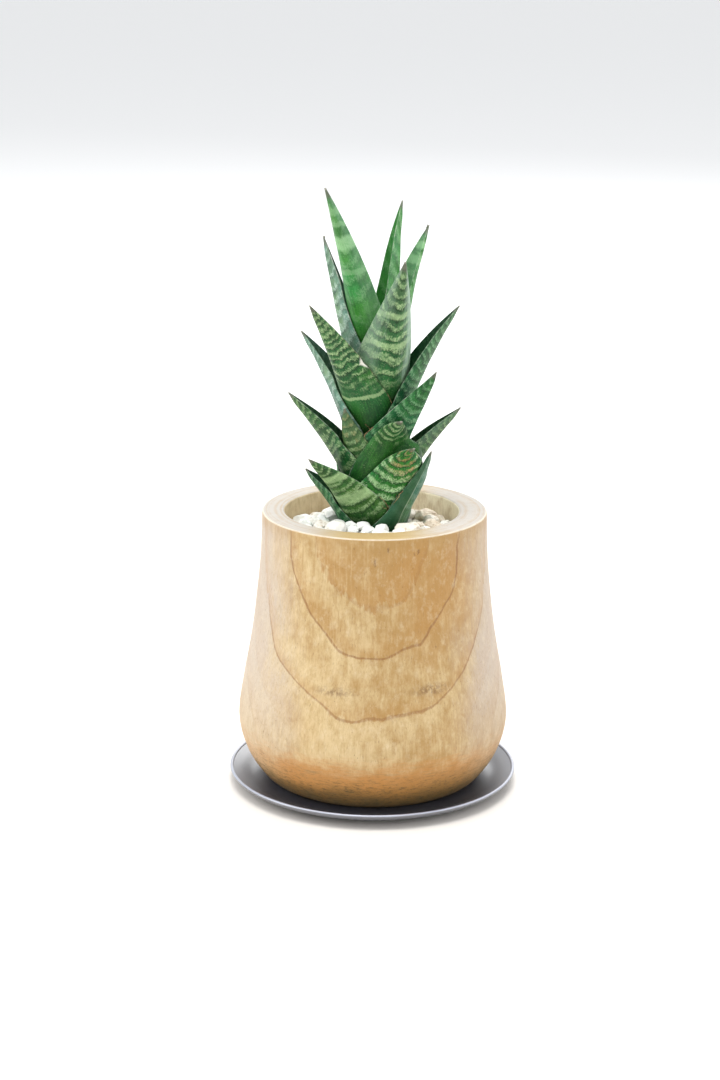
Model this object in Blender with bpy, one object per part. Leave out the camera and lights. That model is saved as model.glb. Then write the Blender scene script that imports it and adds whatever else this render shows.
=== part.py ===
"""A snake plant of stacked, clasping leaves in a turned wooden pot on a round saucer.

Lengths are metres. The origin is on the saucer's axis, on the surface that the saucer stands on.
The front is toward -Y.
"""

import math
import random
from typing import NamedTuple

import bmesh
import bpy
import numpy as np
from mathutils import Vector
from mathutils.bvhtree import BVHTree

# Clearances between pieces that touch
REST_GAP = 0.0003
LEAF_GAP = 0.0005

# Turned bodies
TURNED_SIDES = 48
STEPS_BETWEEN_POINTS = 2
SHARP_ANGLE = math.radians(40)

# Saucer
SAUCER_RADIUS = 0.0768
SAUCER_HEIGHT = 0.008
SAUCER_FOOT_RADIUS = 0.055
SAUCER_FLOOR = 0.003
SAUCER_FLOOR_RADIUS = 0.059
SAUCER_LIP = 0.0018
LIP_INNER_RADIUS = SAUCER_RADIUS - SAUCER_LIP

# Pot, with its outside as radius and height from the foot up
POT_BOTTOM = SAUCER_FLOOR + REST_GAP
POT_HEIGHT = 0.1497
POT_FLOOR = 0.014
POT_RIM_RADIUS = 0.0592
RIM_ROUNDING = 0.0012
POT_OUTSIDE = (
    (0.0540, POT_BOTTOM),
    (0.0595, POT_BOTTOM + 0.0040),
    (0.0676, 0.0198),
    (0.0718, 0.0370),
    (0.0690, 0.0595),
    (0.0642, 0.0870),
    (0.0603, 0.1215),
    (POT_RIM_RADIUS, POT_HEIGHT - RIM_ROUNDING),
)
OPENING_RADIUS = 0.0457
OPENING_OFFSET = -0.0015

# Soil
SOIL_TOP = 0.1275
SOIL_SIDES = 40

# Stem
STEM_HOLE_FLOOR = 0.095
STEM_RADIUS_LOW = 0.0095
STEM_RADIUS_HIGH = 0.0030
STEM_TOP = 0.232
STEM_BUD_HEIGHT = 0.002
STEM_RING_HEIGHTS = (0.160, 0.195)
STEM_SIDES = 20

# Leaves: the course of the midrib
CLASP_LEAN_YOUNG = math.radians(16)
CLASP_LEAN_OLD = math.radians(20)
ROOT_HANDLE = 0.36
TIP_HANDLE = 0.34
MIDRIB_STEPS = 200

# Leaves: the cross-section, from round the stem at the root to a keeled blade
CLASP_ANGLE = math.radians(98)
CLASP_SHARE = 0.18
WIDEST_SHARE = 0.32
BLADE_SHARE = 0.55
FOLD_CLASP = math.radians(84)
FOLD_BLADE = math.radians(64)
FOLD_TIP = math.radians(54)
KEEL_SHARE = 0.7
KEEL_SHARPNESS = 0.5
KEEL_SLOPE = math.radians(44)
TAPER_POWER = 1.4

# Leaves: thickness
THICKNESS_BASE = 0.0021
THICKNESS_TIP = 0.0012
THICKNESS_MARGIN = 0.0008
MARGIN_POWER = 2.0
ROOT_THINNESS = 0.55
ROOT_SHARE = 0.12

# Leaves: their mesh, and how it is fitted round the younger growth
CELLS_ALONG = 11
CELLS_ACROSS = 6
FIT_ROUNDS = 8
FIT_SAMPLES = 5
FIT_TOLERANCE = 0.00002
SEARCH_RADIUS = 0.2

# Stones on a packed bed, which rises toward the plant and toward the front
BED_TOP_AT_WALL = 0.1372
BED_SLOPE = 0.28
BED_TILT = 0.10
BED_SIDES = 40
HOLE_HEIGHTS = 24
HOLE_TURNS = 7
STONE_RADIUS_LEAST = 0.0036
STONE_RADIUS_MOST = 0.0062
STONE_SQUASH = ((0.92, 1.18), (0.85, 1.05), (0.66, 0.86))
STONE_UNEVENNESS = (0.93, 1.05)
STONE_REACH = STONE_SQUASH[0][1] * STONE_UNEVENNESS[1]
STONE_RISE = 0.30
STONE_SPACING = 0.80
STONE_TRIES = 12000
STONE_SEED = 7


class Leaf(NamedTuple):
    """One leaf, by where it clasps the stem and where its tip is.

    Azimuth is in degrees from the front, positive to the right seen from the front. Reach is the tip's
    distance from the plant's axis. Width is the blade's greatest half width, measured round its curve.
    Lean is the tip's slant from upright, in degrees.
    """

    name: str
    azimuth: float
    base: float
    reach: float
    height: float
    width: float
    lean: float


# From the youngest, at the top, to the oldest
LEAVES = (
    Leaf("leaf_01", 108, 0.222, 0.0128, 0.3115, 0.0180, 8),
    Leaf("leaf_02", -40, 0.218, 0.0400, 0.3220, 0.0155, 24),
    Leaf("leaf_03", 176, 0.212, 0.0260, 0.2660, 0.0150, 24),
    Leaf("leaf_04", 122, 0.206, 0.0315, 0.2970, 0.0180, 22),
    Leaf("leaf_05", -92, 0.200, 0.0271, 0.2933, 0.0185, 12),
    Leaf("leaf_06", 22, 0.192, 0.0370, 0.2862, 0.0235, 12),
    Leaf("leaf_07", -170, 0.187, 0.0400, 0.2620, 0.0190, 36),
    Leaf("leaf_08", -48, 0.182, 0.0450, 0.2632, 0.0230, 30),
    Leaf("leaf_09", 97, 0.178, 0.0430, 0.2573, 0.0210, 34),
    Leaf("leaf_10", -106, 0.172, 0.0402, 0.2424, 0.0205, 34),
    Leaf("leaf_11", 148, 0.168, 0.0400, 0.2270, 0.0190, 38),
    Leaf("leaf_12", 50, 0.166, 0.0395, 0.2287, 0.0230, 24),
    Leaf("leaf_13", -45, 0.158, 0.0222, 0.2074, 0.0190, 0),
    Leaf("leaf_14", 178, 0.155, 0.0420, 0.2080, 0.0190, 42),
    Leaf("leaf_15", -88, 0.153, 0.0450, 0.2125, 0.0210, 38),
    Leaf("leaf_16", 86, 0.150, 0.0440, 0.2054, 0.0205, 40),
    Leaf("leaf_17", 24, 0.147, 0.0350, 0.2035, 0.0200, 40),
    Leaf("leaf_18", -140, 0.143, 0.0400, 0.1880, 0.0190, 44),
    Leaf("leaf_19", 36, 0.140, 0.0352, 0.1898, 0.0225, 52),
    Leaf("leaf_20", -54, 0.136, 0.0420, 0.1826, 0.0230, 42),
    Leaf("leaf_21", 160, 0.134, 0.0380, 0.1800, 0.0150, 40),
    Leaf("leaf_22", 60, 0.131, 0.0330, 0.1852, 0.0150, 16),
    Leaf("leaf_23", -106, 0.129, 0.0378, 0.1688, 0.0190, 38),
)


def finish(name, colour, roughness, metallic=0.0):
    """A plain material for one piece."""
    material = bpy.data.materials.new(name)
    material.use_nodes = True
    shader = material.node_tree.nodes["Principled BSDF"]
    shader.inputs["Base Color"].default_value = (*colour, 1.0)
    shader.inputs["Roughness"].default_value = roughness
    shader.inputs["Metallic"].default_value = metallic
    material.diffuse_color = (*colour, 1.0)
    return material


def add_piece(name, shape, material):
    """Turns a bmesh into a named object in the scene, shaded smooth with its sharp edges kept."""
    bmesh.ops.recalc_face_normals(shape, faces=shape.faces)
    mesh = bpy.data.meshes.new(name)
    shape.to_mesh(mesh)
    shape.free()
    mesh.shade_smooth()
    mesh.set_sharp_from_angle(angle=SHARP_ANGLE)
    mesh.materials.append(material)
    piece = bpy.data.objects.new(name, mesh)
    bpy.context.collection.objects.link(piece)
    return piece


def curve_through(points):
    """A smooth run of points through the given ones, each stretch a cubic that its neighbours steer."""
    ends = np.array([points[0], *points, points[-1]])
    run = []
    for before, start, end, after in zip(ends, ends[1:], ends[2:], ends[3:]):
        speed = (end - before) / 2
        next_speed = (after - start) / 2
        for t in np.arange(STEPS_BETWEEN_POINTS) / STEPS_BETWEEN_POINTS:
            point = start + t * speed
            point = point + t**2 * (3 * (end - start) - 2 * speed - next_speed)
            point = point + t**3 * (2 * (start - end) + speed + next_speed)
            run.append(tuple(point))
    return [*run, points[-1]]


def ring_points(shape, ring, sides):
    """The points of one level circle, given by its radius, its height and its centre's offset along X."""
    radius, height, offset = ring
    angles = [2 * math.pi * k / sides for k in range(sides)]
    return [shape.verts.new((offset + radius * math.cos(a), radius * math.sin(a), height)) for a in angles]


def join_rings(shape, lower, upper):
    """A band of faces between two circles of points."""
    for k in range(len(lower)):
        following = (k + 1) % len(lower)
        shape.faces.new((lower[k], lower[following], upper[following], upper[k]))


def turned(rings, sides=TURNED_SIDES):
    """A closed turned body through its rings, from the middle of its underside to the floor of its hollow."""
    shape = bmesh.new()
    loops = [ring_points(shape, ring, sides) for ring in rings]
    for lower, upper in zip(loops, loops[1:]):
        join_rings(shape, lower, upper)
    shape.faces.new(loops[0])
    shape.faces.new(loops[-1])
    return shape


def make_saucer():
    """A thin dish: a flat foot, a flared underside, a small lip and a shallow hollow."""
    outside = curve_through(
        [
            (SAUCER_FOOT_RADIUS, 0.0),
            (SAUCER_FOOT_RADIUS + 0.010, 0.0014),
            (SAUCER_RADIUS - 0.003, 0.0044),
            (SAUCER_RADIUS, SAUCER_HEIGHT - 0.0008),
        ]
    )
    inside = curve_through(
        [
            (LIP_INNER_RADIUS, SAUCER_HEIGHT - 0.0002),
            (LIP_INNER_RADIUS - 0.0045, SAUCER_HEIGHT - 0.0024),
            (LIP_INNER_RADIUS - 0.010, SAUCER_FLOOR + 0.0006),
            (SAUCER_FLOOR_RADIUS, SAUCER_FLOOR),
        ]
    )
    profile = [*outside, (SAUCER_RADIUS - SAUCER_LIP / 2, SAUCER_HEIGHT), *inside]
    rings = [(radius, height, 0.0) for radius, height in profile]
    return add_piece("saucer", turned(rings), finish("saucer_glaze", (0.045, 0.047, 0.052), 0.38))


def make_pot():
    """A turned wooden pot, widest low down, with a thick rim and an opening a little off its centre."""
    rings = [(radius, height, 0.0) for radius, height in curve_through(POT_OUTSIDE)]
    rings.append((POT_RIM_RADIUS - RIM_ROUNDING, POT_HEIGHT, 0.0))
    rings.append((OPENING_RADIUS + RIM_ROUNDING, POT_HEIGHT, OPENING_OFFSET))
    rings.append((OPENING_RADIUS, POT_HEIGHT - RIM_ROUNDING, OPENING_OFFSET))
    rings.append((OPENING_RADIUS, SOIL_TOP, OPENING_OFFSET))
    rings.append((OPENING_RADIUS, POT_FLOOR, OPENING_OFFSET))
    return add_piece("pot", turned(rings), finish("pot_wood", (0.62, 0.43, 0.25), 0.62))


def make_soil():
    """The soil that fills the pot, with a plain hole that the stem stands in."""
    outer = OPENING_RADIUS - REST_GAP
    hole = STEM_RADIUS_LOW + REST_GAP
    rings = [
        (outer, POT_FLOOR + REST_GAP, OPENING_OFFSET),
        (outer, SOIL_TOP, OPENING_OFFSET),
        (hole, SOIL_TOP, 0.0),
        (hole, STEM_HOLE_FLOOR, 0.0),
    ]
    return add_piece("soil", turned(rings, SOIL_SIDES), finish("soil_dark", (0.045, 0.03, 0.02), 0.95))


def stem_radius(height):
    """The stem narrows evenly from the soil to its growing point."""
    share = max(0.0, (height - SOIL_TOP) / (STEM_TOP - SOIL_TOP))
    return STEM_RADIUS_LOW + (STEM_RADIUS_HIGH - STEM_RADIUS_LOW) * share


def make_stem():
    """The upright stalk, in its hole in the soil."""
    heights = [STEM_HOLE_FLOOR + REST_GAP, SOIL_TOP, *STEM_RING_HEIGHTS, STEM_TOP]
    rings = [(stem_radius(height), height, 0.0) for height in heights]
    rings.append((STEM_RADIUS_HIGH / 2, STEM_TOP + STEM_BUD_HEIGHT, 0.0))
    return add_piece("stem", turned(rings, STEM_SIDES), finish("stem_green", (0.30, 0.42, 0.20), 0.6))


def ease(share):
    """A smooth step from 0 to 1."""
    share = np.clip(share, 0.0, 1.0)
    return share * share * (3 - 2 * share)


def slanted(lean):
    """The direction that leans this far from upright, as outward and upward shares."""
    return np.array([math.sin(lean), math.cos(lean)])


def midrib(leaf):
    """Radius, height and slant from upright at each row of the leaf, evenly spaced along its middle."""
    start = np.array([stem_radius(leaf.base) + LEAF_GAP, leaf.base])
    end = np.array([leaf.reach, leaf.height])
    length = np.linalg.norm(end - start)
    age = (LEAVES[0].base - leaf.base) / (LEAVES[0].base - LEAVES[-1].base)
    clasp_lean = CLASP_LEAN_YOUNG + (CLASP_LEAN_OLD - CLASP_LEAN_YOUNG) * age
    low = start + ROOT_HANDLE * length * slanted(clasp_lean)
    high = end - TIP_HANDLE * length * slanted(math.radians(leaf.lean))
    t = np.linspace(0, 1, MIDRIB_STEPS)[:, None]
    run = (1 - t) ** 3 * start + 3 * (1 - t) ** 2 * t * low + 3 * (1 - t) * t**2 * high + t**3 * end
    step = np.diff(run, axis=0)
    travelled = np.concatenate([[0.0], np.cumsum(np.linalg.norm(step, axis=1))])
    slant = np.arctan2(step[:, 0], step[:, 1])
    slant = np.concatenate([slant, slant[-1:]])
    rows = np.linspace(0, travelled[-1], CELLS_ALONG + 1)
    return tuple(np.interp(rows, travelled, values) for values in (run[:, 0], run[:, 1], slant))


def half_widths(leaf, along):
    """The leaf's half width round its curve: clasping at the root, widest above it, then tapered."""
    clasp_width = (stem_radius(leaf.base) + LEAF_GAP) * CLASP_ANGLE
    taper = 1 - np.clip((along - CLASP_SHARE) / (1 - CLASP_SHARE), 0, 1) ** TAPER_POWER
    return (clasp_width + (leaf.width - clasp_width) * ease(along / WIDEST_SHARE)) * taper


def blade(leaf):
    """The inner face of a leaf before it is fitted round the younger ones, as rows by columns of points."""
    along = np.linspace(0, 1, CELLS_ALONG + 1)[:, None]
    across = np.linspace(-1, 1, CELLS_ACROSS + 1)[None, :]
    radius, height, slant = (values[:, None] for values in midrib(leaf))
    half_width = half_widths(leaf, along)
    fold = np.interp(along, (0, CLASP_SHARE, BLADE_SHARE, 1), (CLASP_ANGLE, FOLD_CLASP, FOLD_BLADE, FOLD_TIP))
    bend = half_width / fold
    keel = KEEL_SHARPNESS * ease(along / KEEL_SHARE)
    round_side = bend * np.sin(fold * across)
    round_depth = bend * (1 - np.cos(fold * across))
    keeled_side = half_width * math.cos(KEEL_SLOPE) * across
    keeled_depth = half_width * math.sin(KEEL_SLOPE) * np.abs(across)
    side = (1 - keel) * round_side + keel * keeled_side
    depth = (1 - keel) * round_depth + keel * keeled_depth
    out = radius - depth * np.cos(slant)
    azimuth = math.radians(leaf.azimuth)
    x = out * math.sin(azimuth) + side * math.cos(azimuth)
    y = -out * math.cos(azimuth) + side * math.sin(azimuth)
    z = height + depth * np.sin(slant)
    return np.stack([x, y, z], axis=-1)


def outward(face):
    """Unit normals of a leaf's face, pointing away from the stem."""
    along = np.gradient(face, axis=0)
    along[-1] = face[-1] - face[-2]
    across = np.gradient(face, axis=1)
    across[-1] = across[-2]
    normal = np.cross(across, along)
    return normal / np.maximum(np.linalg.norm(normal, axis=-1, keepdims=True), 1e-12)


def outer_face(face):
    """The leaf's back, its thickness away from the inner face and thin at its margins."""
    along = np.linspace(0, 1, face.shape[0])[:, None]
    across = np.linspace(-1, 1, face.shape[1])[None, :]
    middle = THICKNESS_BASE + (THICKNESS_TIP - THICKNESS_BASE) * along
    root = ROOT_THINNESS + (1 - ROOT_THINNESS) * ease(along / ROOT_SHARE)
    body = 1 - np.abs(across) ** MARGIN_POWER
    thickness = THICKNESS_MARGIN + (middle - THICKNESS_MARGIN) * root * body
    return face + outward(face) * thickness[..., None]


def spread(values):
    """Each value with a share of its neighbours', rows and columns alike."""
    wide = np.pad(values, 1, mode="edge")
    rows = (wide[:-2] + 2 * wide[1:-1] + wide[2:]) / 4
    return (rows[:, :-2] + 2 * rows[:, 1:-1] + rows[:, 2:]) / 4


def reach_of(tree, point):
    """How far out the younger growth stands in a point's direction, at its height."""
    direction = Vector((point[0], point[1], 0.0)).normalized()
    start = direction * SEARCH_RADIUS
    start.z = point[2]
    hit = tree.ray_cast(start, -direction, SEARCH_RADIUS)[0]
    return hit.xy.length if hit else 0.0


def cell_points(face, i, j):
    """Points spread over the two triangles of one cell of a leaf's face."""
    near, near_next = face[i, j], face[i, j + 1]
    far, far_next = face[i + 1, j], face[i + 1, j + 1]
    for u in np.linspace(0, 1, FIT_SAMPLES):
        for v in np.linspace(0, 1, FIT_SAMPLES):
            if u <= v:
                yield near + v * (near_next - near) + u * (far_next - near_next)
            else:
                yield near + u * (far - near) + v * (far_next - far)


def fit_round(face, tree):
    """Moves a leaf's inner face outward until it clears the younger growth, evenly enough to stay smooth."""
    for _ in range(FIT_ROUNDS):
        short = np.zeros(face.shape[:2])
        for i in range(face.shape[0] - 1):
            for j in range(face.shape[1] - 1):
                worst = 0.0
                for point in cell_points(face, i, j):
                    gap = math.hypot(point[0], point[1]) - reach_of(tree, point)
                    worst = max(worst, LEAF_GAP - gap)
                short[i : i + 2, j : j + 2] = np.maximum(short[i : i + 2, j : j + 2], worst)
        if short.max() < FIT_TOLERANCE:
            break
        short = np.maximum(short, spread(short))
        radius = np.hypot(face[..., 0], face[..., 1])
        face = face.copy()
        face[..., :2] *= (1 + short / radius)[..., None]
    return face


def leaf_shape(inner, outer):
    """A closed thin body between a leaf's two faces, drawn together at its tip."""
    shape = bmesh.new()
    tip = shape.verts.new((inner[-1].mean(axis=0) + outer[-1].mean(axis=0)) / 2)
    faces = [[[shape.verts.new(point) for point in row] for row in grid[:-1]] for grid in (inner, outer)]
    last = len(faces[0]) - 1
    columns = len(faces[0][0])
    for grid in faces:
        for i in range(last):
            for j in range(columns - 1):
                shape.faces.new((grid[i][j], grid[i][j + 1], grid[i + 1][j + 1]))
                shape.faces.new((grid[i][j], grid[i + 1][j + 1], grid[i + 1][j]))
        for j in range(columns - 1):
            shape.faces.new((grid[last][j], grid[last][j + 1], tip))
    front, back = faces
    for j in (0, columns - 1):
        for i in range(last):
            shape.faces.new((front[i][j], back[i][j], back[i + 1][j]))
            shape.faces.new((front[i][j], back[i + 1][j], front[i + 1][j]))
        shape.faces.new((front[last][j], back[last][j], tip))
    for j in range(columns - 1):
        shape.faces.new((front[0][j], back[0][j], back[0][j + 1]))
        shape.faces.new((front[0][j], back[0][j + 1], front[0][j + 1]))
    return shape


def tree_of(objects):
    """One search tree over the faces of several objects."""
    points, faces = [], []
    for obj in objects:
        base = len(points)
        points += [vertex.co.copy() for vertex in obj.data.vertices]
        faces += [[base + index for index in polygon.vertices] for polygon in obj.data.polygons]
    return BVHTree.FromPolygons(points, faces)


def make_leaves(stem):
    """Every leaf, from the youngest outward, each fitted round the stem and the leaves before it."""
    growth = [stem]
    for order, leaf in enumerate(LEAVES):
        inner = fit_round(blade(leaf), tree_of(growth))
        age = order / (len(LEAVES) - 1)
        colour = (0.10 - 0.04 * age, 0.33 - 0.16 * age, 0.09 - 0.02 * age)
        shape = leaf_shape(inner, outer_face(inner))
        growth.append(add_piece(leaf.name, shape, finish(leaf.name + "_green", colour, 0.45)))
    return growth[1:]


def bed_top(x, y):
    """The height of the packed bed at a place."""
    return BED_TOP_AT_WALL + BED_SLOPE * (OPENING_RADIUS - math.hypot(x, y)) - BED_TILT * y


def hole_radii(plant):
    """How far from the axis the bed begins at each of its sides, just clear of the plant's foot."""
    reaches = []
    for k in range(BED_SIDES):
        angle = 2 * math.pi * k / BED_SIDES
        widest = STEM_RADIUS_LOW
        for height in np.linspace(SOIL_TOP, POT_HEIGHT, HOLE_HEIGHTS):
            for turn in np.linspace(-math.pi, math.pi, HOLE_TURNS) / BED_SIDES:
                x, y = math.cos(angle + turn), math.sin(angle + turn)
                reach = reach_of(plant, (x, y, height))
                if height <= bed_top(reach * x, reach * y) + REST_GAP:
                    widest = max(widest, reach)
        reaches.append(widest)
    following = [*reaches[1:], reaches[0]]
    before = [reaches[-1], *reaches[:-1]]
    return [max(trio) + 2 * REST_GAP for trio in zip(before, reaches, following)]


def bed_shape(holes):
    """A ring of packed stones under the loose ones, from the plant's foot to the pot's wall."""
    shape = bmesh.new()
    loops = [[], [], [], []]
    for k, hole in enumerate(holes):
        angle = 2 * math.pi * k / BED_SIDES
        toward = Vector((math.cos(angle), math.sin(angle), 0.0))
        near = toward * hole
        far = toward * (OPENING_RADIUS - REST_GAP) + Vector((OPENING_OFFSET, 0.0, 0.0))
        places = ((near, False), (far, False), (far, True), (near, True))
        for loop, (place, on_top) in zip(loops, places):
            height = bed_top(place.x, place.y) if on_top else SOIL_TOP + REST_GAP
            loop.append(shape.verts.new((place.x, place.y, height)))
    for first, second in zip(loops, [*loops[1:], loops[0]]):
        join_rings(shape, first, second)
    return shape


def stone_places(plant, holes):
    """Seeded places and sizes of the stones: close together on the bed, clear of the plant and the wall."""
    rng = random.Random(STONE_SEED)
    placed = []
    for attempt in range(STONE_TRIES):
        largest = STONE_RADIUS_MOST - (STONE_RADIUS_MOST - STONE_RADIUS_LEAST) * attempt / STONE_TRIES
        size = rng.uniform(STONE_RADIUS_LEAST, largest)
        angle = rng.uniform(0, 2 * math.pi)
        distance = math.sqrt(rng.random()) * OPENING_RADIUS
        x, y = distance * math.cos(angle), distance * math.sin(angle)
        place = Vector((x, y, bed_top(x, y) + STONE_RISE * size))
        clear = size * STONE_REACH + REST_GAP
        if distance < holes[round(angle / (2 * math.pi) * BED_SIDES) % BED_SIDES]:
            continue
        if OPENING_RADIUS - (place.xy - Vector((OPENING_OFFSET, 0.0))).length < clear:
            continue
        if plant.find_nearest(place)[3] < clear:
            continue
        if any((place - other).length < STONE_SPACING * (size + radius) for other, radius in placed):
            continue
        placed.append((place, size))
    return placed


def stone(rng, place, size):
    """One rounded, slightly uneven stone."""
    shape = bmesh.new()
    bmesh.ops.create_icosphere(shape, subdivisions=1, radius=size)
    squash = [rng.uniform(*limits) for limits in STONE_SQUASH]
    turn = rng.uniform(0, 2 * math.pi)
    for vertex in shape.verts:
        point = Vector(vertex.co[k] * squash[k] for k in range(3)) * rng.uniform(*STONE_UNEVENNESS)
        x = point.x * math.cos(turn) - point.y * math.sin(turn)
        y = point.x * math.sin(turn) + point.y * math.cos(turn)
        vertex.co = (place.x + x, place.y + y, place.z + point.z)
    return shape


def make_stones(leaves):
    """The top dressing: a bed with a hole for the plant and the stones set in it, joined as one."""
    rng = random.Random(STONE_SEED)
    plant = tree_of(leaves)
    holes = hole_radii(plant)
    bed = add_piece("stones", bed_shape(holes), finish("stone_white", (0.80, 0.77, 0.72), 0.75))
    pile = bpy.data.collections.new("loose_stones")
    for place, size in stone_places(plant, holes):
        mesh = bpy.data.meshes.new("loose_stone")
        rough = stone(rng, place, size)
        rough.to_mesh(mesh)
        rough.free()
        pile.objects.link(bpy.data.objects.new("loose_stone", mesh))
    join = bed.modifiers.new("join", "BOOLEAN")
    join.operation = "UNION"
    join.operand_type = "COLLECTION"
    join.collection = pile
    join.solver = "EXACT"
    bpy.context.view_layer.objects.active = bed
    bpy.ops.object.modifier_apply(modifier=join.name)
    for loose in list(pile.objects):
        bpy.data.objects.remove(loose)
    bpy.data.collections.remove(pile)
    return bed


def main():
    """Clears the scene and makes every piece."""
    for leftover in list(bpy.data.objects):
        bpy.data.objects.remove(leftover)
    make_saucer()
    make_pot()
    make_soil()
    stem = make_stem()
    leaves = make_leaves(stem)
    make_stones(leaves)


main()
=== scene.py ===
"""A short, stacked snake plant in a turned wooden pot on a round saucer, dressed for its portrait.

Lengths are metres. The origin is on the saucer's axis at table level, +Z is up and the front is toward -Y.
"""

import logging
import math
import random
from dataclasses import dataclass, field, replace
from enum import Enum
from functools import cached_property
from typing import Any, Iterable, Sequence

import bpy
import numpy as np
from mathutils import Matrix, Vector, noise
from mathutils.bvhtree import BVHTree


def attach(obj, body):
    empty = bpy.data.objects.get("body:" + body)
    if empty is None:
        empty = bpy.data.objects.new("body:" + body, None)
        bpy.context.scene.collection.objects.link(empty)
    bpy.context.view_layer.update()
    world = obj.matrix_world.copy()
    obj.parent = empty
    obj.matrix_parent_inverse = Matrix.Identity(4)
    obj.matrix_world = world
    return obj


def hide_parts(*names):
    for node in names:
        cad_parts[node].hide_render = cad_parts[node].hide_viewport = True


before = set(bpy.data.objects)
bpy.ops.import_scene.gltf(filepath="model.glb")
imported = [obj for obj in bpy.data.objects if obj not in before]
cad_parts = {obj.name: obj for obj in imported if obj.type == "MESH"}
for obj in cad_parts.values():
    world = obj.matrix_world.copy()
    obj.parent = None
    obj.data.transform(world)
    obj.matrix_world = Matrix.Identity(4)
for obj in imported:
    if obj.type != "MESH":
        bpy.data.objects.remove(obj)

Colour = tuple[float, float, float]
Ring = tuple[float, float, float]
LOG = logging.getLogger("potted_snake_plant")
MILLIMETRES = 1000.0


class Value:
    """A shader socket on which Python's operators add Math nodes."""

    def __init__(self, graph: "Graph", socket: bpy.types.NodeSocket) -> None:
        """Wraps one output socket of a graph."""
        self.graph = graph
        self.socket = socket

    def math(self, operation: str, *others: "float | Value") -> "Value":
        """A Math node that starts from this value.

        Args:
            operation: The node's operation.
            others: The operation's other values.

        Returns:
            The node's result.
        """
        return self.graph.math(operation, self, *others)

    def __add__(self, other: "float | Value") -> "Value":
        """The sum."""
        return self.math("ADD", other)

    def __sub__(self, other: "float | Value") -> "Value":
        """The difference."""
        return self.math("SUBTRACT", other)

    def __rsub__(self, other: "float | Value") -> "Value":
        """A number less this value."""
        return self.graph.math("SUBTRACT", other, self)

    def __mul__(self, other: "float | Value") -> "Value":
        """The product."""
        return self.math("MULTIPLY", other)

    def __truediv__(self, other: "float | Value") -> "Value":
        """The quotient."""
        return self.math("DIVIDE", other)

    def __rtruediv__(self, other: "float | Value") -> "Value":
        """A number over this value."""
        return self.graph.math("DIVIDE", other, self)

    def __pow__(self, other: "float | Value") -> "Value":
        """The power."""
        return self.math("POWER", other)

    def __abs__(self) -> "Value":
        """The size of the value."""
        return self.math("ABSOLUTE")

    __radd__ = __add__
    __rmul__ = __mul__


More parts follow.
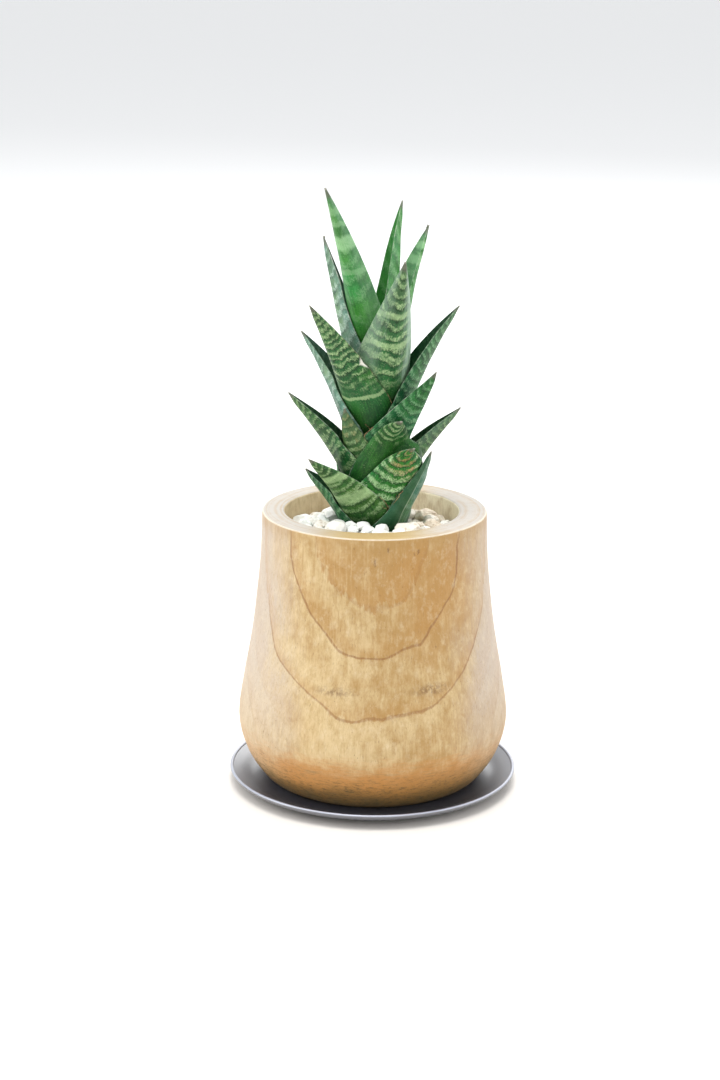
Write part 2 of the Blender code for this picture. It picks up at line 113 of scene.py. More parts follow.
class Graph:
    """A material under construction: its node tree and one Principled BSDF."""

    def __init__(self, name: str) -> None:
        """Starts a material with nothing linked."""
        self.material = bpy.data.materials.new(name)
        self.material.use_nodes = True
        self.tree = self.material.node_tree
        self.surface = next(n for n in self.tree.nodes if n.type == "BSDF_PRINCIPLED")

    def node(
        self,
        kind: str,
        settings: dict[str, Any] | None = None,
        inputs: dict[str | int, Any] | None = None,
        output: str | int = 0,
    ) -> Value:
        """Adds any node.

        Args:
            kind: The node's type.
            settings: Its settings, with a ramp's stops under "stops".
            inputs: Values or links of its sockets, by name or number.
            output: The output that is wanted.

        Returns:
            That output.
        """
        made = self.tree.nodes.new(kind)
        for name, setting in (settings or {}).items():
            if name == "stops":
                self.fill_ramp(made.color_ramp, setting)
            else:
                setattr(made, name, setting)
        for name, value in (inputs or {}).items():
            self.feed(made.inputs[name], value)
        return Value(self, made.outputs[output])

    def feed(self, socket: bpy.types.NodeSocket, value: Any) -> None:
        """Links a value to a socket, or sets it there."""
        if isinstance(value, Value):
            self.tree.links.new(value.socket, socket)
        elif socket.type == "RGBA":
            socket.default_value = (*value, 1.0)
        else:
            socket.default_value = value

    @staticmethod
    def fill_ramp(ramp: bpy.types.ColorRamp, stops: Sequence[tuple[float, Colour]]) -> None:
        """Gives a colour ramp its stops."""
        while len(ramp.elements) < len(stops):
            ramp.elements.new(1.0)
        for element, (place, colour) in zip(ramp.elements, stops):
            element.position = place
            element.color = (*colour, 1.0)

    def math(self, operation: str, *values: "float | Value") -> Value:
        """A Math node on numbers or values."""
        return self.node("ShaderNodeMath", {"operation": operation}, dict(enumerate(values)))

    def vector_math(self, operation: str, *values: Any) -> Value:
        """A Vector Math node."""
        return self.node("ShaderNodeVectorMath", {"operation": operation}, dict(enumerate(values)))

    @cached_property
    def place(self) -> Value:
        """The place on the piece, in millimetres."""
        place = self.node("ShaderNodeTexCoord", output="Object")
        return self.vector_math("MULTIPLY", place, (MILLIMETRES,) * 3)

    @cached_property
    def spot(self) -> tuple[Value, Value, Value]:
        """The place as three numbers."""
        return self.parts(self.place)

    def parts(self, vector: Value) -> tuple[Value, Value, Value]:
        """A vector's three numbers."""
        split = self.node("ShaderNodeSeparateXYZ", inputs={0: vector}).socket.node
        return tuple(Value(self, socket) for socket in split.outputs)

    def vector(self, x: Any, y: Any, z: Any) -> Value:
        """Three numbers as one vector."""
        return self.node("ShaderNodeCombineXYZ", inputs={0: x, 1: y, 2: z})

    def attribute(self, name: str) -> Value:
        """A number that the piece's mesh carries."""
        return self.node("ShaderNodeAttribute", {"attribute_name": name}, output="Fac")

    def noise(
        self, stretch: Sequence[float], detail: float = 2.0, harsh: float = 0.5, place: Value | None = None
    ) -> Value:
        """Noise about 0.5.

        Args:
            stretch: Waves per unit of the place, along each direction.
            detail: How many finer layers it has.
            harsh: How strong the finer layers are.
            place: Where it is read, if not at the place on the piece.

        Returns:
            A value from 0 to 1.
        """
        place = self.vector_math("MULTIPLY", place or self.place, tuple(stretch))
        inputs = {"Vector": place, "Scale": 1.0, "Detail": detail, "Roughness": harsh}
        return self.node("ShaderNodeTexNoise", inputs=inputs)

    def smooth(self, value: Value, low: Any, high: Any, start: float = 0.0, end: float = 1.0) -> Value:
        """A smooth step.

        Args:
            value: What is read.
            low: Where the step starts.
            high: Where it ends.
            start: The result below the step.
            end: The result above it.

        Returns:
            The stepped value.
        """
        inputs = {"Value": value, "From Min": low, "From Max": high, "To Min": start, "To Max": end}
        return self.node("ShaderNodeMapRange", {"interpolation_type": "SMOOTHSTEP"}, inputs)

    def blend(self, first: Any, second: Any, share: Any) -> Value:
        """A mix of two colours."""
        settings = {"data_type": "RGBA", "blend_type": "MIX"}
        return self.node("ShaderNodeMix", settings, {0: share, 6: first, 7: second}, output=2)

    def distance(self, centre: Sequence[float], stretch: Sequence[float]) -> Value:
        """How far the place is from a centre, each direction counted by its own factor."""
        away = self.vector_math("SUBTRACT", self.place, tuple(centre))
        away = self.vector_math("MULTIPLY", away, tuple(stretch))
        return Value(self, self.vector_math("LENGTH", away).socket.node.outputs["Value"])

    def shade(self, colour: Value, amount: Value) -> Value:
        """A colour made darker or lighter by a factor."""
        return self.vector_math("MULTIPLY", colour, self.vector(amount, amount, amount))

    def ramp(self, value: Value, stops: Sequence[tuple[float, Colour]]) -> Value:
        """A colour ramp."""
        return self.node("ShaderNodeValToRGB", {"stops": stops}, {"Fac": value})

    def bump(self, height: Value, depth: float, below: Value | None = None) -> Value:
        """A bumpy normal.

        Args:
            height: The relief, from 0 to 1.
            depth: Its depth in metres.
            below: A coarser normal that it adds to.

        Returns:
            The normal.
        """
        inputs = {"Height": height, "Distance": depth, "Strength": 1.0}
        if below is not None:
            inputs["Normal"] = below
        return self.node("ShaderNodeBump", inputs=inputs)

    def finish(self, **inputs: Any) -> bpy.types.Material:
        """Feeds the Principled BSDF, its sockets written with underscores, and gives the material."""
        for name, value in inputs.items():
            self.feed(self.surface.inputs[name.replace("_", " ")], value)
        return self.material


class Workbench:
    """Blender's modelling operators, used as by hand."""

    @staticmethod
    def clear_selection() -> None:
        """Leaves nothing selected."""
        bpy.ops.object.select_all(action="DESELECT")

    @staticmethod
    def take(*objects: bpy.types.Object) -> None:
        """Selects objects, the first of them active."""
        Workbench.clear_selection()
        for obj in objects:
            obj.select_set(True)
        bpy.context.view_layer.objects.active = objects[0]

    @staticmethod
    def made(name: str) -> bpy.types.Object:
        """The object that an operator has just made, under its name."""
        piece = bpy.context.active_object
        piece.name = piece.data.name = name
        return piece

    @staticmethod
    def smooth(piece: bpy.types.Object, crease: float) -> None:
        """Shades a piece smooth but for edges sharper than an angle in degrees."""
        Workbench.take(piece)
        bpy.ops.object.shade_smooth_by_angle(angle=math.radians(crease))

    @staticmethod
    def settle(piece: bpy.types.Object) -> None:
        """Moves a piece's place into its mesh."""
        Workbench.take(piece)
        bpy.ops.object.transform_apply(location=True, rotation=True, scale=True)

    @staticmethod
    def turn(name: str, rings: Sequence[Ring], sides: int) -> bpy.types.Object:
        """A closed turned body.

        Args:
            name: The piece's name.
            rings: Radius, height and offset along X of each ring, from the underside to the hollow's floor.
            sides: Points round each ring.

        Returns:
            The piece.
        """
        Workbench.clear_selection()
        radius, height, offset = rings[0]
        bpy.ops.mesh.primitive_circle_add(
            vertices=sides, radius=radius, fill_type="NGON", location=(offset, 0.0, height)
        )
        piece = Workbench.made(name)
        Workbench.settle(piece)
        bpy.ops.object.mode_set(mode="EDIT")
        bpy.ops.mesh.select_mode(type="EDGE")
        bpy.ops.mesh.select_all(action="SELECT")
        bpy.ops.mesh.delete(type="ONLY_FACE")
        bpy.ops.mesh.select_all(action="SELECT")
        for before, after in zip(rings, rings[1:]):
            share = after[0] / before[0]
            step = (after[2] - before[2], 0.0, after[1] - before[1])
            bpy.ops.mesh.extrude_edges_move(TRANSFORM_OT_translate={"value": step})
            centre = (after[2], 0.0, after[1])
            bpy.ops.transform.resize(value=(share, share, 1.0), center_override=centre)
        bpy.ops.mesh.edge_face_add()
        bpy.ops.mesh.select_all(action="DESELECT")
        bpy.ops.object.mode_set(mode="OBJECT")
        Workbench.select_ring(piece, rings[0])
        bpy.ops.object.mode_set(mode="EDIT")
        bpy.ops.mesh.edge_face_add()
        bpy.ops.mesh.select_all(action="SELECT")
        bpy.ops.mesh.normals_make_consistent(inside=False)
        bpy.ops.object.mode_set(mode="OBJECT")
        return piece

    @staticmethod
    def select_ring(piece: bpy.types.Object, ring: Ring) -> None:
        """Selects the edges of one ring by their place."""
        mesh = piece.data
        near = 1e-6
        for edge in mesh.edges:
            ends = [mesh.vertices[k].co for k in edge.vertices]
            on_level = all(abs(end.z - ring[1]) < near for end in ends)
            on_ring = all(abs(math.hypot(end.x - ring[2], end.y) - ring[0]) < near for end in ends)
            edge.select = on_level and on_ring

    @staticmethod
    def apply(piece: bpy.types.Object, kind: str, **settings: Any) -> None:
        """Adds one modifier and applies it.

        Args:
            piece: The piece.
            kind: The modifier's type.
            settings: Its settings.
        """
        Workbench.take(piece)
        modifier = piece.modifiers.new(kind.lower(), kind)
        for name, value in settings.items():
            setattr(modifier, name, value)
        bpy.ops.object.modifier_apply(modifier=modifier.name)

    @staticmethod
    def points(mesh: bpy.types.Mesh) -> np.ndarray:
        """The mesh's points, one to a row."""
        flat = np.empty(len(mesh.vertices) * 3)
        mesh.vertices.foreach_get("co", flat)
        return flat.reshape(-1, 3)

    @staticmethod
    def set_points(mesh: bpy.types.Mesh, points: np.ndarray) -> None:
        """Moves the mesh's points."""
        mesh.vertices.foreach_set("co", points.ravel())
        mesh.update()

    @staticmethod
    def mark(mesh: bpy.types.Mesh, name: str, values: np.ndarray) -> None:
        """Stores one number for each point of a mesh."""
        made = mesh.attributes.new(name, "FLOAT", "POINT")
        made.data.foreach_set("value", np.asarray(values, dtype=np.float32))

    @staticmethod
    def hand_over(piece: bpy.types.Object, material: bpy.types.Material, node: str, slot: str) -> None:
        """Dresses a finished piece and puts it in its node's place.

        Args:
            piece: The piece.
            material: Its material.
            node: The node that it stands for.
            slot: The name of a material slot; not used.
        """
        piece.data.materials.clear()
        piece.data.materials.append(material)
        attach(piece, "root")
        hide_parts(node)
        LOG.info("%s stands for %s with %d faces", piece.name, node, len(piece.data.polygons))


def curve_through(points: Sequence[tuple[float, float]], steps: int) -> list[tuple[float, float]]:
    """A smooth run through points, each stretch a cubic that its neighbours steer.

    Args:
        points: The points.
        steps: Steps from each point to the next.

    Returns:
        The run, with both end points.
    """
    ends = np.array([points[0], *points, points[-1]])
    run = []
    for before, start, end, after in zip(ends, ends[1:], ends[2:], ends[3:]):
        speed = (end - before) / 2
        next_speed = (after - start) / 2
        for t in np.arange(steps) / steps:
            point = start + t * speed
            point = point + t**2 * (3 * (end - start) - 2 * speed - next_speed)
            point = point + t**3 * (2 * (start - end) + speed + next_speed)
            run.append(tuple(point))
    return [*run, tuple(points[-1])]


def round_corner(centre: tuple[float, float], radius: float, start: float, end: float, steps: int) -> list:
    """Points of an arc in the profile's plane.

    Args:
        centre: Its centre, as radius and height.
        radius: Its radius.
        start: Its first angle in degrees, from outward toward up.
        end: Its last angle.
        steps: How many steps it has.

    Returns:
        The points.
    """
    angles = np.radians(np.linspace(start, end, steps + 1))
    return [(centre[0] + radius * math.cos(a), centre[1] + radius * math.sin(a)) for a in angles]


def ease(share: np.ndarray | float) -> np.ndarray:
    """A smooth step from 0 to 1."""
    share = np.clip(share, 0.0, 1.0)
    return share * share * (3 - 2 * share)


def tree_over(objects: Iterable[bpy.types.Object]) -> BVHTree:
    """One search tree over the faces of several objects."""
    points, faces = [], []
    for obj in objects:
        base = len(points)
        points += [vertex.co.copy() for vertex in obj.data.vertices]
        faces += [[base + k for k in polygon.vertices] for polygon in obj.data.polygons]
    return BVHTree.FromPolygons(points, faces)


SEARCH_RADIUS = 0.2


def reach_at(tree: BVHTree, x: float, y: float, height: float) -> float:
    """How far out a tree's faces stand in a place's direction, at a height."""
    direction = Vector((x, y, 0.0)).normalized()
    start = direction * SEARCH_RADIUS
    start.z = height
    hit = tree.ray_cast(start, -direction, SEARCH_RADIUS)[0]
    return hit.xy.length if hit else 0.0


@dataclass(frozen=True)
class SatinGlaze:
    """The saucer's dark satin surface."""

    colour: Colour = (0.026, 0.032, 0.060)
    worn: Colour = (0.050, 0.056, 0.078)
    # The lip colour is a painted highlight: the ceiling light reflected along the top of the lip.
    lip: Colour = (0.34, 0.38, 0.49)
    roughness: float = 0.34

    def material(self, height: float) -> bpy.types.Material:
        """The finish as a material, with a painted highlight on the lip, which is at this height."""
        graph = Graph("saucer_satin")
        cloud = graph.noise((0.05, 0.05, 0.05), 3.0)
        grain = graph.noise((2.6, 2.6, 2.6), 3.0, 0.6)
        colour = graph.blend(self.colour, self.worn, graph.smooth(cloud, 0.35, 0.75, 0.0, 0.55))
        colour = graph.blend(colour, self.worn, graph.smooth(grain, 0.66, 0.78, 0.0, 0.6))
        top = height * MILLIMETRES
        # Painted highlight: the top of the lip turns light bluish grey.
        rubbed_and_highlight = graph.smooth(graph.spot[2] + cloud * 0.5, top - 0.55, top - 0.05, 0.0, 0.85)
        colour = graph.blend(colour, self.lip, rubbed_and_highlight)
        rough = self.roughness - 0.04 + cloud * 0.10
        relief = graph.bump(grain, 0.000006)
        return graph.finish(
            Base_Color=colour, Roughness=rough, Normal=relief, Specular_IOR_Level=1.0,
            Coat_Weight=1.0, Coat_Roughness=0.42, Coat_IOR=2.3,
        )


@dataclass
class Saucer:
    """A thin round dish with a small raised lip."""

    radius: float = 0.0768
    height: float = 0.008
    foot_radius: float = 0.055
    floor: float = 0.003
    floor_radius: float = 0.059
    lip: float = 0.0018
    sides: int = 128
    crease: float = 50.0
    finish: SatinGlaze = field(default_factory=SatinGlaze)

    def rings(self) -> list[Ring]:
        """The profile, from the foot round the lip to the floor."""
        half_lip = self.lip / 2
        inner = self.radius - self.lip
        outside = curve_through(
            [
                (self.foot_radius, 0.0),
                (self.foot_radius + 0.010, 0.0014),
                (self.radius - 0.003, 0.0044),
                (self.radius, self.height - half_lip),
            ],
            6,
        )
        lip = round_corner((self.radius - half_lip, self.height - half_lip), half_lip, 15, 165, 8)
        inside = curve_through(
            [
                (inner, self.height - half_lip),
                (inner - 0.0045, self.height - 0.0024),
                (inner - 0.010, self.floor + 0.0006),
                (self.floor_radius, self.floor),
            ],
            6,
        )
        run = [*outside, *lip, *inside, (self.floor_radius * 0.6, self.floor), (0.004, self.floor)]
        return [(radius, height, 0.0) for radius, height in run]

    def build(self) -> bpy.types.Object:
        """Turns and dresses the saucer."""
        piece = Workbench.turn("saucer_dish", self.rings(), self.sides)
        Workbench.smooth(piece, self.crease)
        Workbench.hand_over(piece, self.finish.material(self.height), "saucer", "saucer_glaze")
        return piece


@dataclass(frozen=True)
class TurnedWood:
    """Pale turned wood: growth rings about an upright pith, soft blotches, fibres and a stained foot.

    Rings lists each ring's distance from the pith in millimetres, how brown its zone is, and how dark its
    line.
    """

    pith: tuple[float, float] = (0.0, -12.0)
    rings: tuple[tuple[float, float, float], ...] = (
        (44.4, 0.30, 0.20), (48.6, 0.95, 0.30), (51.7, 0.60, 1.0), (54.8, 0.10, 0.0), (57.5, 0.70, 0.85),
        (62.4, 0.15, 0.10), (66.6, 0.25, 0.25), (71.2, 0.35, 0.40), (76.0, 0.30, 0.30), (80.5, 0.35, 0.35),
    )
    nearest: float = 40.0
    farthest: float = 86.0
    pale: Colour = (0.63, 0.485, 0.265)
    tan: Colour = (0.40, 0.245, 0.085)
    chalk: Colour = (0.74, 0.64, 0.45)
    ring_brown: Colour = (0.24, 0.105, 0.035)
    orange: Colour = (0.44, 0.215, 0.052)
    foot_brown: Colour = (0.50, 0.23, 0.058)
    # Painted sheen: the pale pinkish grey of the pot's left and right silhouettes.
    side_sheen: Colour = (0.54, 0.475, 0.42)
    stain: Colour = (0.20, 0.125, 0.042)
    # A dark brown for the grit specks and for the darkening at the bottom of the foot.
    foot_dark: Colour = (0.105, 0.082, 0.036)
    inner: Colour = (0.74, 0.58, 0.37)
    # The inner wall's colour where it is painted lighter, toward its right side, which faces the light from
    # the left.
    inner_lit: Colour = (0.96, 0.86, 0.66)
    rim_front: Colour = (0.51, 0.37, 0.17)
    rim_side: Colour = (0.47, 0.44, 0.405)
    # Painted highlight: the thin pale line along the rim's outer edge.
    rim_highlight: Colour = (0.78, 0.72, 0.60)
    fleck: Colour = (0.16, 0.075, 0.028)
    dark_area: tuple[float, float, float] = (30.0, -48.0, 122.0)
    knots: tuple[tuple[float, float, float], ...] = ((-20.7, -63.7, 70.3), (28.7, -60.5, 70.6))
    cracks: tuple[tuple[float, float, float], ...] = (
        (0.0, -59.4, 137.6), (6.6, -59.0, 143.8), (21.8, -55.2, 142.6), (-61.0, -38.0, 47.0),
        (-57.0, -43.0, 40.0),
    )

    def ring_stops(self) -> list[tuple[float, Colour]]:
        """The count of rings from the pith outward, and beside it each ring's two strengths."""
        span = self.farthest - self.nearest
        whole = len(self.rings) + 1
        stops = [(0.0, (0.4 / whole, 0.0, 0.0))]
        for count, (radius, brown, line) in enumerate(self.rings, start=1):
            stops.append(((radius - self.nearest) / span, (count / whole, brown, line)))
        return [*stops, (1.0, ((whole - 0.4) / whole, 0.0, 0.0))]

    def material(self, pot: "Pot") -> bpy.types.Material:
        """The finish as a material.

        Args:
            pot: The pot, whose sizes place its rim and its inside.

        Returns:
            The material.
        """
        graph = Graph("pot_turned_wood")
        x, _, z = graph.spot
        streak = graph.noise((0.8, 0.8, 0.030), 4.0, 0.6)
        thread = graph.noise((3.0, 3.0, 0.16), 3.0, 0.6)
        cloud = graph.noise((0.030, 0.030, 0.024), 3.0)
        mottle = graph.noise((0.17, 0.17, 0.12), 5.0, 0.62)
        heart, shade, line = self.grown(graph, streak)
        tone = mottle * 0.45 + cloud * 0.30 + streak * 0.25 + shade * 0.07 + heart * 0.07
        tone = tone + graph.smooth(x, -30.0, 45.0, -0.03, 0.09)
        colour = graph.blend(self.pale, self.tan, graph.smooth(tone, 0.38, 0.68))
        # Painted sheen toward the left and right silhouettes, stronger higher up.
        flank = graph.smooth(abs(x) + cloud * 34 + streak * 16 - 25, 34, 64)
        flank = flank * graph.smooth(z, 18.0, 80.0, 0.30, 1.0)
        colour = graph.blend(colour, self.side_sheen, flank * 0.82)
        colour = graph.blend(colour, self.orange, shade * 0.42)
        colour = self.darker_patches(graph, colour)
        line = line * (1 - graph.smooth(z, 88.0, 118.0) * graph.smooth(abs(x), 42.0, 52.0, 0.0, 0.85))
        colour = graph.blend(colour, self.ring_brown, line * 0.68)
        colour = self.worn(graph, colour, thread)
        colour = self.foot(graph, colour)
        colour = self.rim(graph, colour, pot, mottle * 0.6 + thread * 0.4)
        rough = 0.46 + streak * 0.12 + mottle * 0.12
        relief = graph.bump(mottle - line * 0.15, 0.0004, graph.bump(streak, 0.00010))
        relief = graph.bump(thread, 0.00006, relief)
        return graph.finish(
            Base_Color=colour, Roughness=rough, Normal=relief, Specular_IOR_Level=0.35,
            Coat_Weight=0.05, Coat_Roughness=0.35,
        )

    def ring_at(self, graph: Graph, out: Value) -> tuple[Value, Value, Value]:
        """Where a distance from the pith lies between two rings, and the two strengths there."""
        share = (out - self.nearest) / (self.farthest - self.nearest)
        count, brown, line = graph.parts(graph.ramp(share, self.ring_stops()))
        return (count * (len(self.rings) + 1)).math("FRACT"), brown, line

    def grown(self, graph: Graph, streak: Value) -> tuple[Value, Value, Value]:
        """The growth rings, each a thin dark line with a brown zone on its pith side.

        Args:
            graph: The material.
            streak: The long fibres.

        Returns:
            The share of the heartwood, of the brown zones, and of the lines.
        """
        x, y, z = graph.spot
        wide = graph.noise((1 / 34, 1 / 34, 1 / 42), 1.0) - 0.5
        near = graph.noise((0.12, 0.12, 0.10)) - 0.5
        drip = graph.noise((0.50, 0.50, 0.040)) - 0.5
        out = (x * x + (y - self.pith[1]) * (y - self.pith[1])).math("SQRT")
        out = out + wide * 2.6 + near * 0.45
        between, _, line = self.ring_at(graph, out)
        fading = graph.smooth(z, 30.0, 46.0) * graph.smooth(streak, 0.25, 0.5, 0.55, 1.0)
        edge = graph.smooth(between, 0.955, 0.985).math("MAXIMUM", 1 - graph.smooth(between, 0.012, 0.045))
        filled, brown, _ = self.ring_at(graph, out + drip * 1.3)
        heart = graph.smooth(out + drip * 2.0, 47.0, 61.0, 1.0, -0.5)
        return heart, graph.smooth(filled, 0.25, 1.0) * brown * fading, edge * line * fading

    def darker_patches(self, graph: Graph, colour: Value) -> Value:
        """Adds the darker area right of the middle under the rim, two knots, and short cracks."""
        rough = graph.noise((0.06, 0.06, 0.045), 4.0, 0.6)
        away = graph.distance(self.dark_area, (1.0, 1.0, 0.75)) + rough * 34
        colour = graph.blend(colour, self.orange, (1 - graph.smooth(away, 22, 56)) * 0.42)
        fine = graph.noise((0.55, 0.55, 0.45), 4.0, 0.7)
        for knot in self.knots:
            near = 1 - graph.smooth(graph.distance(knot, (0.55, 0.55, 2.2)) + rough * 8, 5, 13)
            colour = graph.blend(colour, self.fleck, near * graph.smooth(fine, 0.36, 0.60) * 0.70)
        for crack in self.cracks:
            near = 1 - graph.smooth(graph.distance(crack, (2.4, 2.4, 0.8)) + fine * 9, 4.6, 6.4)
            colour = graph.blend(colour, self.fleck, near * 0.75)
        return colour

    def worn(self, graph: Graph, colour: Value, thread: Value) -> Value:
        """Adds fibres, pores, pale rubbed spots, and dark and light specks.

        Args:
            graph: The material.
            colour: The colour so far.
            thread: The fine fibres.

        Returns:
            The worn colour.
        """
        rubbed_and_highlight = graph.noise((0.26, 0.26, 0.18), 5.0, 0.7)
        colour = graph.blend(colour, self.chalk, graph.smooth(rubbed_and_highlight, 0.48, 0.74, 0.0, 0.30))
        colour = graph.blend(colour, self.tan, graph.smooth(thread, 0.48, 0.70, 0.0, 0.45))
        speck = graph.noise((0.9, 0.9, 0.6), 4.0, 0.75)
        colour = graph.blend(colour, self.ring_brown, graph.smooth(speck, 0.56, 0.76, 0.0, 0.42))
        colour = graph.blend(colour, self.chalk, graph.smooth(speck, 0.26, 0.42, 0.22, 0.0))
        pores = graph.smooth(graph.noise((1.3, 1.3, 0.30), 2.0, 0.7), 0.65, 0.73)
        return graph.blend(colour, self.fleck, pores * 0.45)

    def foot(self, graph: Graph, colour: Value) -> Value:
        """Adds the foot's orange-brown band, and the dark stain that rises in it in turned streaks."""
        x, _, z = graph.spot
        blot = graph.noise((0.09, 0.09, 0.13), 5.0, 0.68) - 0.5
        turned = graph.noise((0.07, 0.07, 0.8), 4.0, 0.7) - 0.5
        height = z + blot * 20 + turned * 12
        band = graph.smooth(height, 2, 12) * (1 - graph.smooth(height, 23, 40))
        colour = graph.blend(colour, self.foot_brown, band * graph.smooth(abs(x), 40.0, 62.0, 0.92, 0.50))
        right = graph.smooth(x + blot * 30, 0.0, 40.0, 0.0, 0.40) * (1 - graph.smooth(height, 16, 32))
        right = right.math("MAXIMUM", band * graph.smooth(turned, 0.02, 0.16, 0.0, 0.55))
        colour = graph.blend(colour, self.stain, right)
        colour = graph.blend(colour, self.stain, (1 - graph.smooth(height, 9, 21)) * 0.72)
        grit = graph.smooth(graph.noise((0.30, 0.30, 0.90), 5.0, 0.8), 0.49, 0.62)
        colour = graph.blend(colour, self.foot_dark, grit * (1 - graph.smooth(height, 12, 34)) * 0.72)
        # Darker towards the bottom, within about 12 mm of the underside.
        return graph.blend(colour, self.foot_dark, (1 - graph.smooth(z + blot * 22, 2, 12)) * 0.50)

    def rim(self, graph: Graph, colour: Value, pot: "Pot", grain: Value) -> Value:
        """Adds the cut top of the rim, pale at the sides, the golden wall inside it, painted lighter toward
        its right side, and a painted highlight along the rim's outer edge.

        Args:
            graph: The material.
            colour: The colour so far.
            pot: The pot.
            grain: The grain that both show.

        Returns:
            The colour with its rim.
        """
        x, y, z = graph.spot
        shifted = x - pot.opening_offset * MILLIMETRES
        from_axis = (shifted * shifted + y * y).math("SQRT")
        edge = pot.opening_radius * MILLIMETRES
        height = pot.height * MILLIMETRES
        # The inner wall is painted lighter toward its right side, where the light from the left falls.
        golden = graph.blend(self.inner, self.inner_lit, graph.smooth(x + grain * 30, 0.0, 45.0))
        golden = graph.blend(golden, self.tan, graph.smooth(grain, 0.44, 0.62, 0.0, 0.45))
        colour = graph.blend(colour, golden, 1 - graph.smooth(from_axis, edge + 0.3, edge + 1.0))
        outside = graph.smooth(from_axis, edge + 8.0, edge + 10.0)
        below = graph.smooth(z, height - 9.0, height - 2.0) * outside
        colour = graph.blend(colour, self.tan, below * 0.35)
        face = graph.blend(self.rim_front, self.rim_side, graph.smooth(abs(x) + grain * 12, 16.0, 46.0))
        cut = graph.noise((0.9, 0.9, 0.05), 3.0, 0.6, graph.vector(from_axis, z, x))
        face = graph.blend(face, self.tan, graph.smooth(cut * 0.6 + grain * 0.4, 0.48, 0.62, 0.0, 0.45))
        colour = graph.blend(colour, face, graph.smooth(z, height - 0.5, height - 0.1) * 0.92)
        # Painted highlight: a thin pale line along the rim's outer edge, just under the top.
        edge_highlight = graph.smooth(z, height - 0.8, height - 0.5) * outside
        edge_highlight = edge_highlight * (1 - graph.smooth(z, height - 0.12, height - 0.02))
        return graph.blend(colour, self.rim_highlight, edge_highlight * graph.smooth(grain, 0.35, 0.55, 0.25, 0.65))


@dataclass
class Pot:
    """A turned wooden pot, widest low down, with a thick flat rim and an opening a little off its centre."""

    bottom: float = 0.0033
    height: float = 0.1497
    rim_rounding: float = 0.0012
    opening_radius: float = 0.0457
    opening_offset: float = -0.0015
    inside_floor: float = 0.100
    rim_radius: float = 0.0592
    sides: int = 144
    crease: float = 60.0
    unevenness: float = 0.00022
    wear_scale: float = 22.0
    ridge_scale: float = 900.0
    ridge_share: float = 0.15
    finish: TurnedWood = field(default_factory=TurnedWood)

    def rings(self) -> list[Ring]:
        """The profile, from the foot over the rim and down inside."""
        rounding = self.rim_rounding
        rim = self.rim_radius, self.height - rounding
        outside = curve_through(
            [
                (0.0540, self.bottom),
                (0.0595, self.bottom + 0.0040),
                (0.0676, 0.0198),
                (0.0718, 0.0370),
                (0.0690, 0.0595),
                (0.0642, 0.0870),
                (0.0603, 0.1215),
                rim,
            ],
            9,
        )
        outer_edge = round_corner((rim[0] - rounding, rim[1]), rounding, 12, 90, 6)
        inner_edge = round_corner((self.opening_radius + rounding, rim[1]), rounding, 90, 180, 6)
        rings = [(radius, height, 0.0) for radius, height in [*outside, *outer_edge]]
        middle = (self.rim_radius + self.opening_radius) / 2
        rings.append((middle, self.height, self.opening_offset / 2))
        rings += [(radius, height, self.opening_offset) for radius, height in inner_edge]
        for height in np.linspace(rim[1], self.inside_floor, 16)[1:]:
            rings.append((self.opening_radius, height, self.opening_offset))
        return rings

    def build(self) -> bpy.types.Object:
        """Turns, wears and dresses the pot."""
        piece = Workbench.turn("pot_turned", self.rings(), self.sides)
        points = Workbench.points(piece.data)
        for point in points:
            wear = noise.noise(Vector(point) * self.wear_scale) * self.unevenness
            ridge = noise.noise(Vector((0.0, 0.0, point[2] * self.ridge_scale)))
            wear += ridge * self.unevenness * self.ridge_share
            distance = math.hypot(point[0], point[1])
            if distance > self.opening_radius + 2 * self.rim_rounding:
                point[:2] *= 1 + (wear - self.unevenness * 0.5) / distance
        Workbench.set_points(piece.data, points)
        Workbench.smooth(piece, self.crease)
        Workbench.hand_over(piece, self.finish.material(self), "pot", "pot_wood")
        return piece


@dataclass(frozen=True)
class CrumblySoil:
    """Dark crumbs of potting soil."""

    dark: Colour = (0.018, 0.011, 0.007)
    light: Colour = (0.075, 0.047, 0.028)

    def material(self) -> bpy.types.Material:
        """The finish as a material."""
        graph = Graph("soil_crumbs")
        crumbs = graph.noise((0.9, 0.9, 0.9), 5.0, 0.7)
        clods = graph.noise((0.22, 0.22, 0.22), 3.0)
        colour = graph.blend(self.dark, self.light, graph.smooth(crumbs * 0.7 + clods * 0.3, 0.38, 0.66))
        relief = graph.bump(crumbs, 0.0007, graph.bump(clods, 0.0012))
        return graph.finish(Base_Color=colour, Roughness=0.9 + clods * 0.1, Normal=relief)


@dataclass(frozen=True)
class StemSkin:
    """The stem's ribbed green skin, brown where it enters the soil."""

    green: Colour = (0.22, 0.36, 0.13)
    pale: Colour = (0.46, 0.56, 0.30)
    brown: Colour = (0.20, 0.11, 0.05)
    soil_line: float = 131.0

    def material(self) -> bpy.types.Material:
        """The finish as a material."""
        graph = Graph("stem_skin")
        ribs = graph.noise((0.9, 0.9, 0.07), 3.0)
        colour = graph.blend(self.green, self.pale, graph.smooth(ribs, 0.4, 0.7))
        low = 1 - graph.smooth(graph.spot[2] + ribs * 8, self.soil_line, self.soil_line + 10)
        colour = graph.blend(colour, self.brown, low)
        return graph.finish(Base_Color=colour, Roughness=0.5 + ribs * 0.2, Normal=graph.bump(ribs, 0.0003))


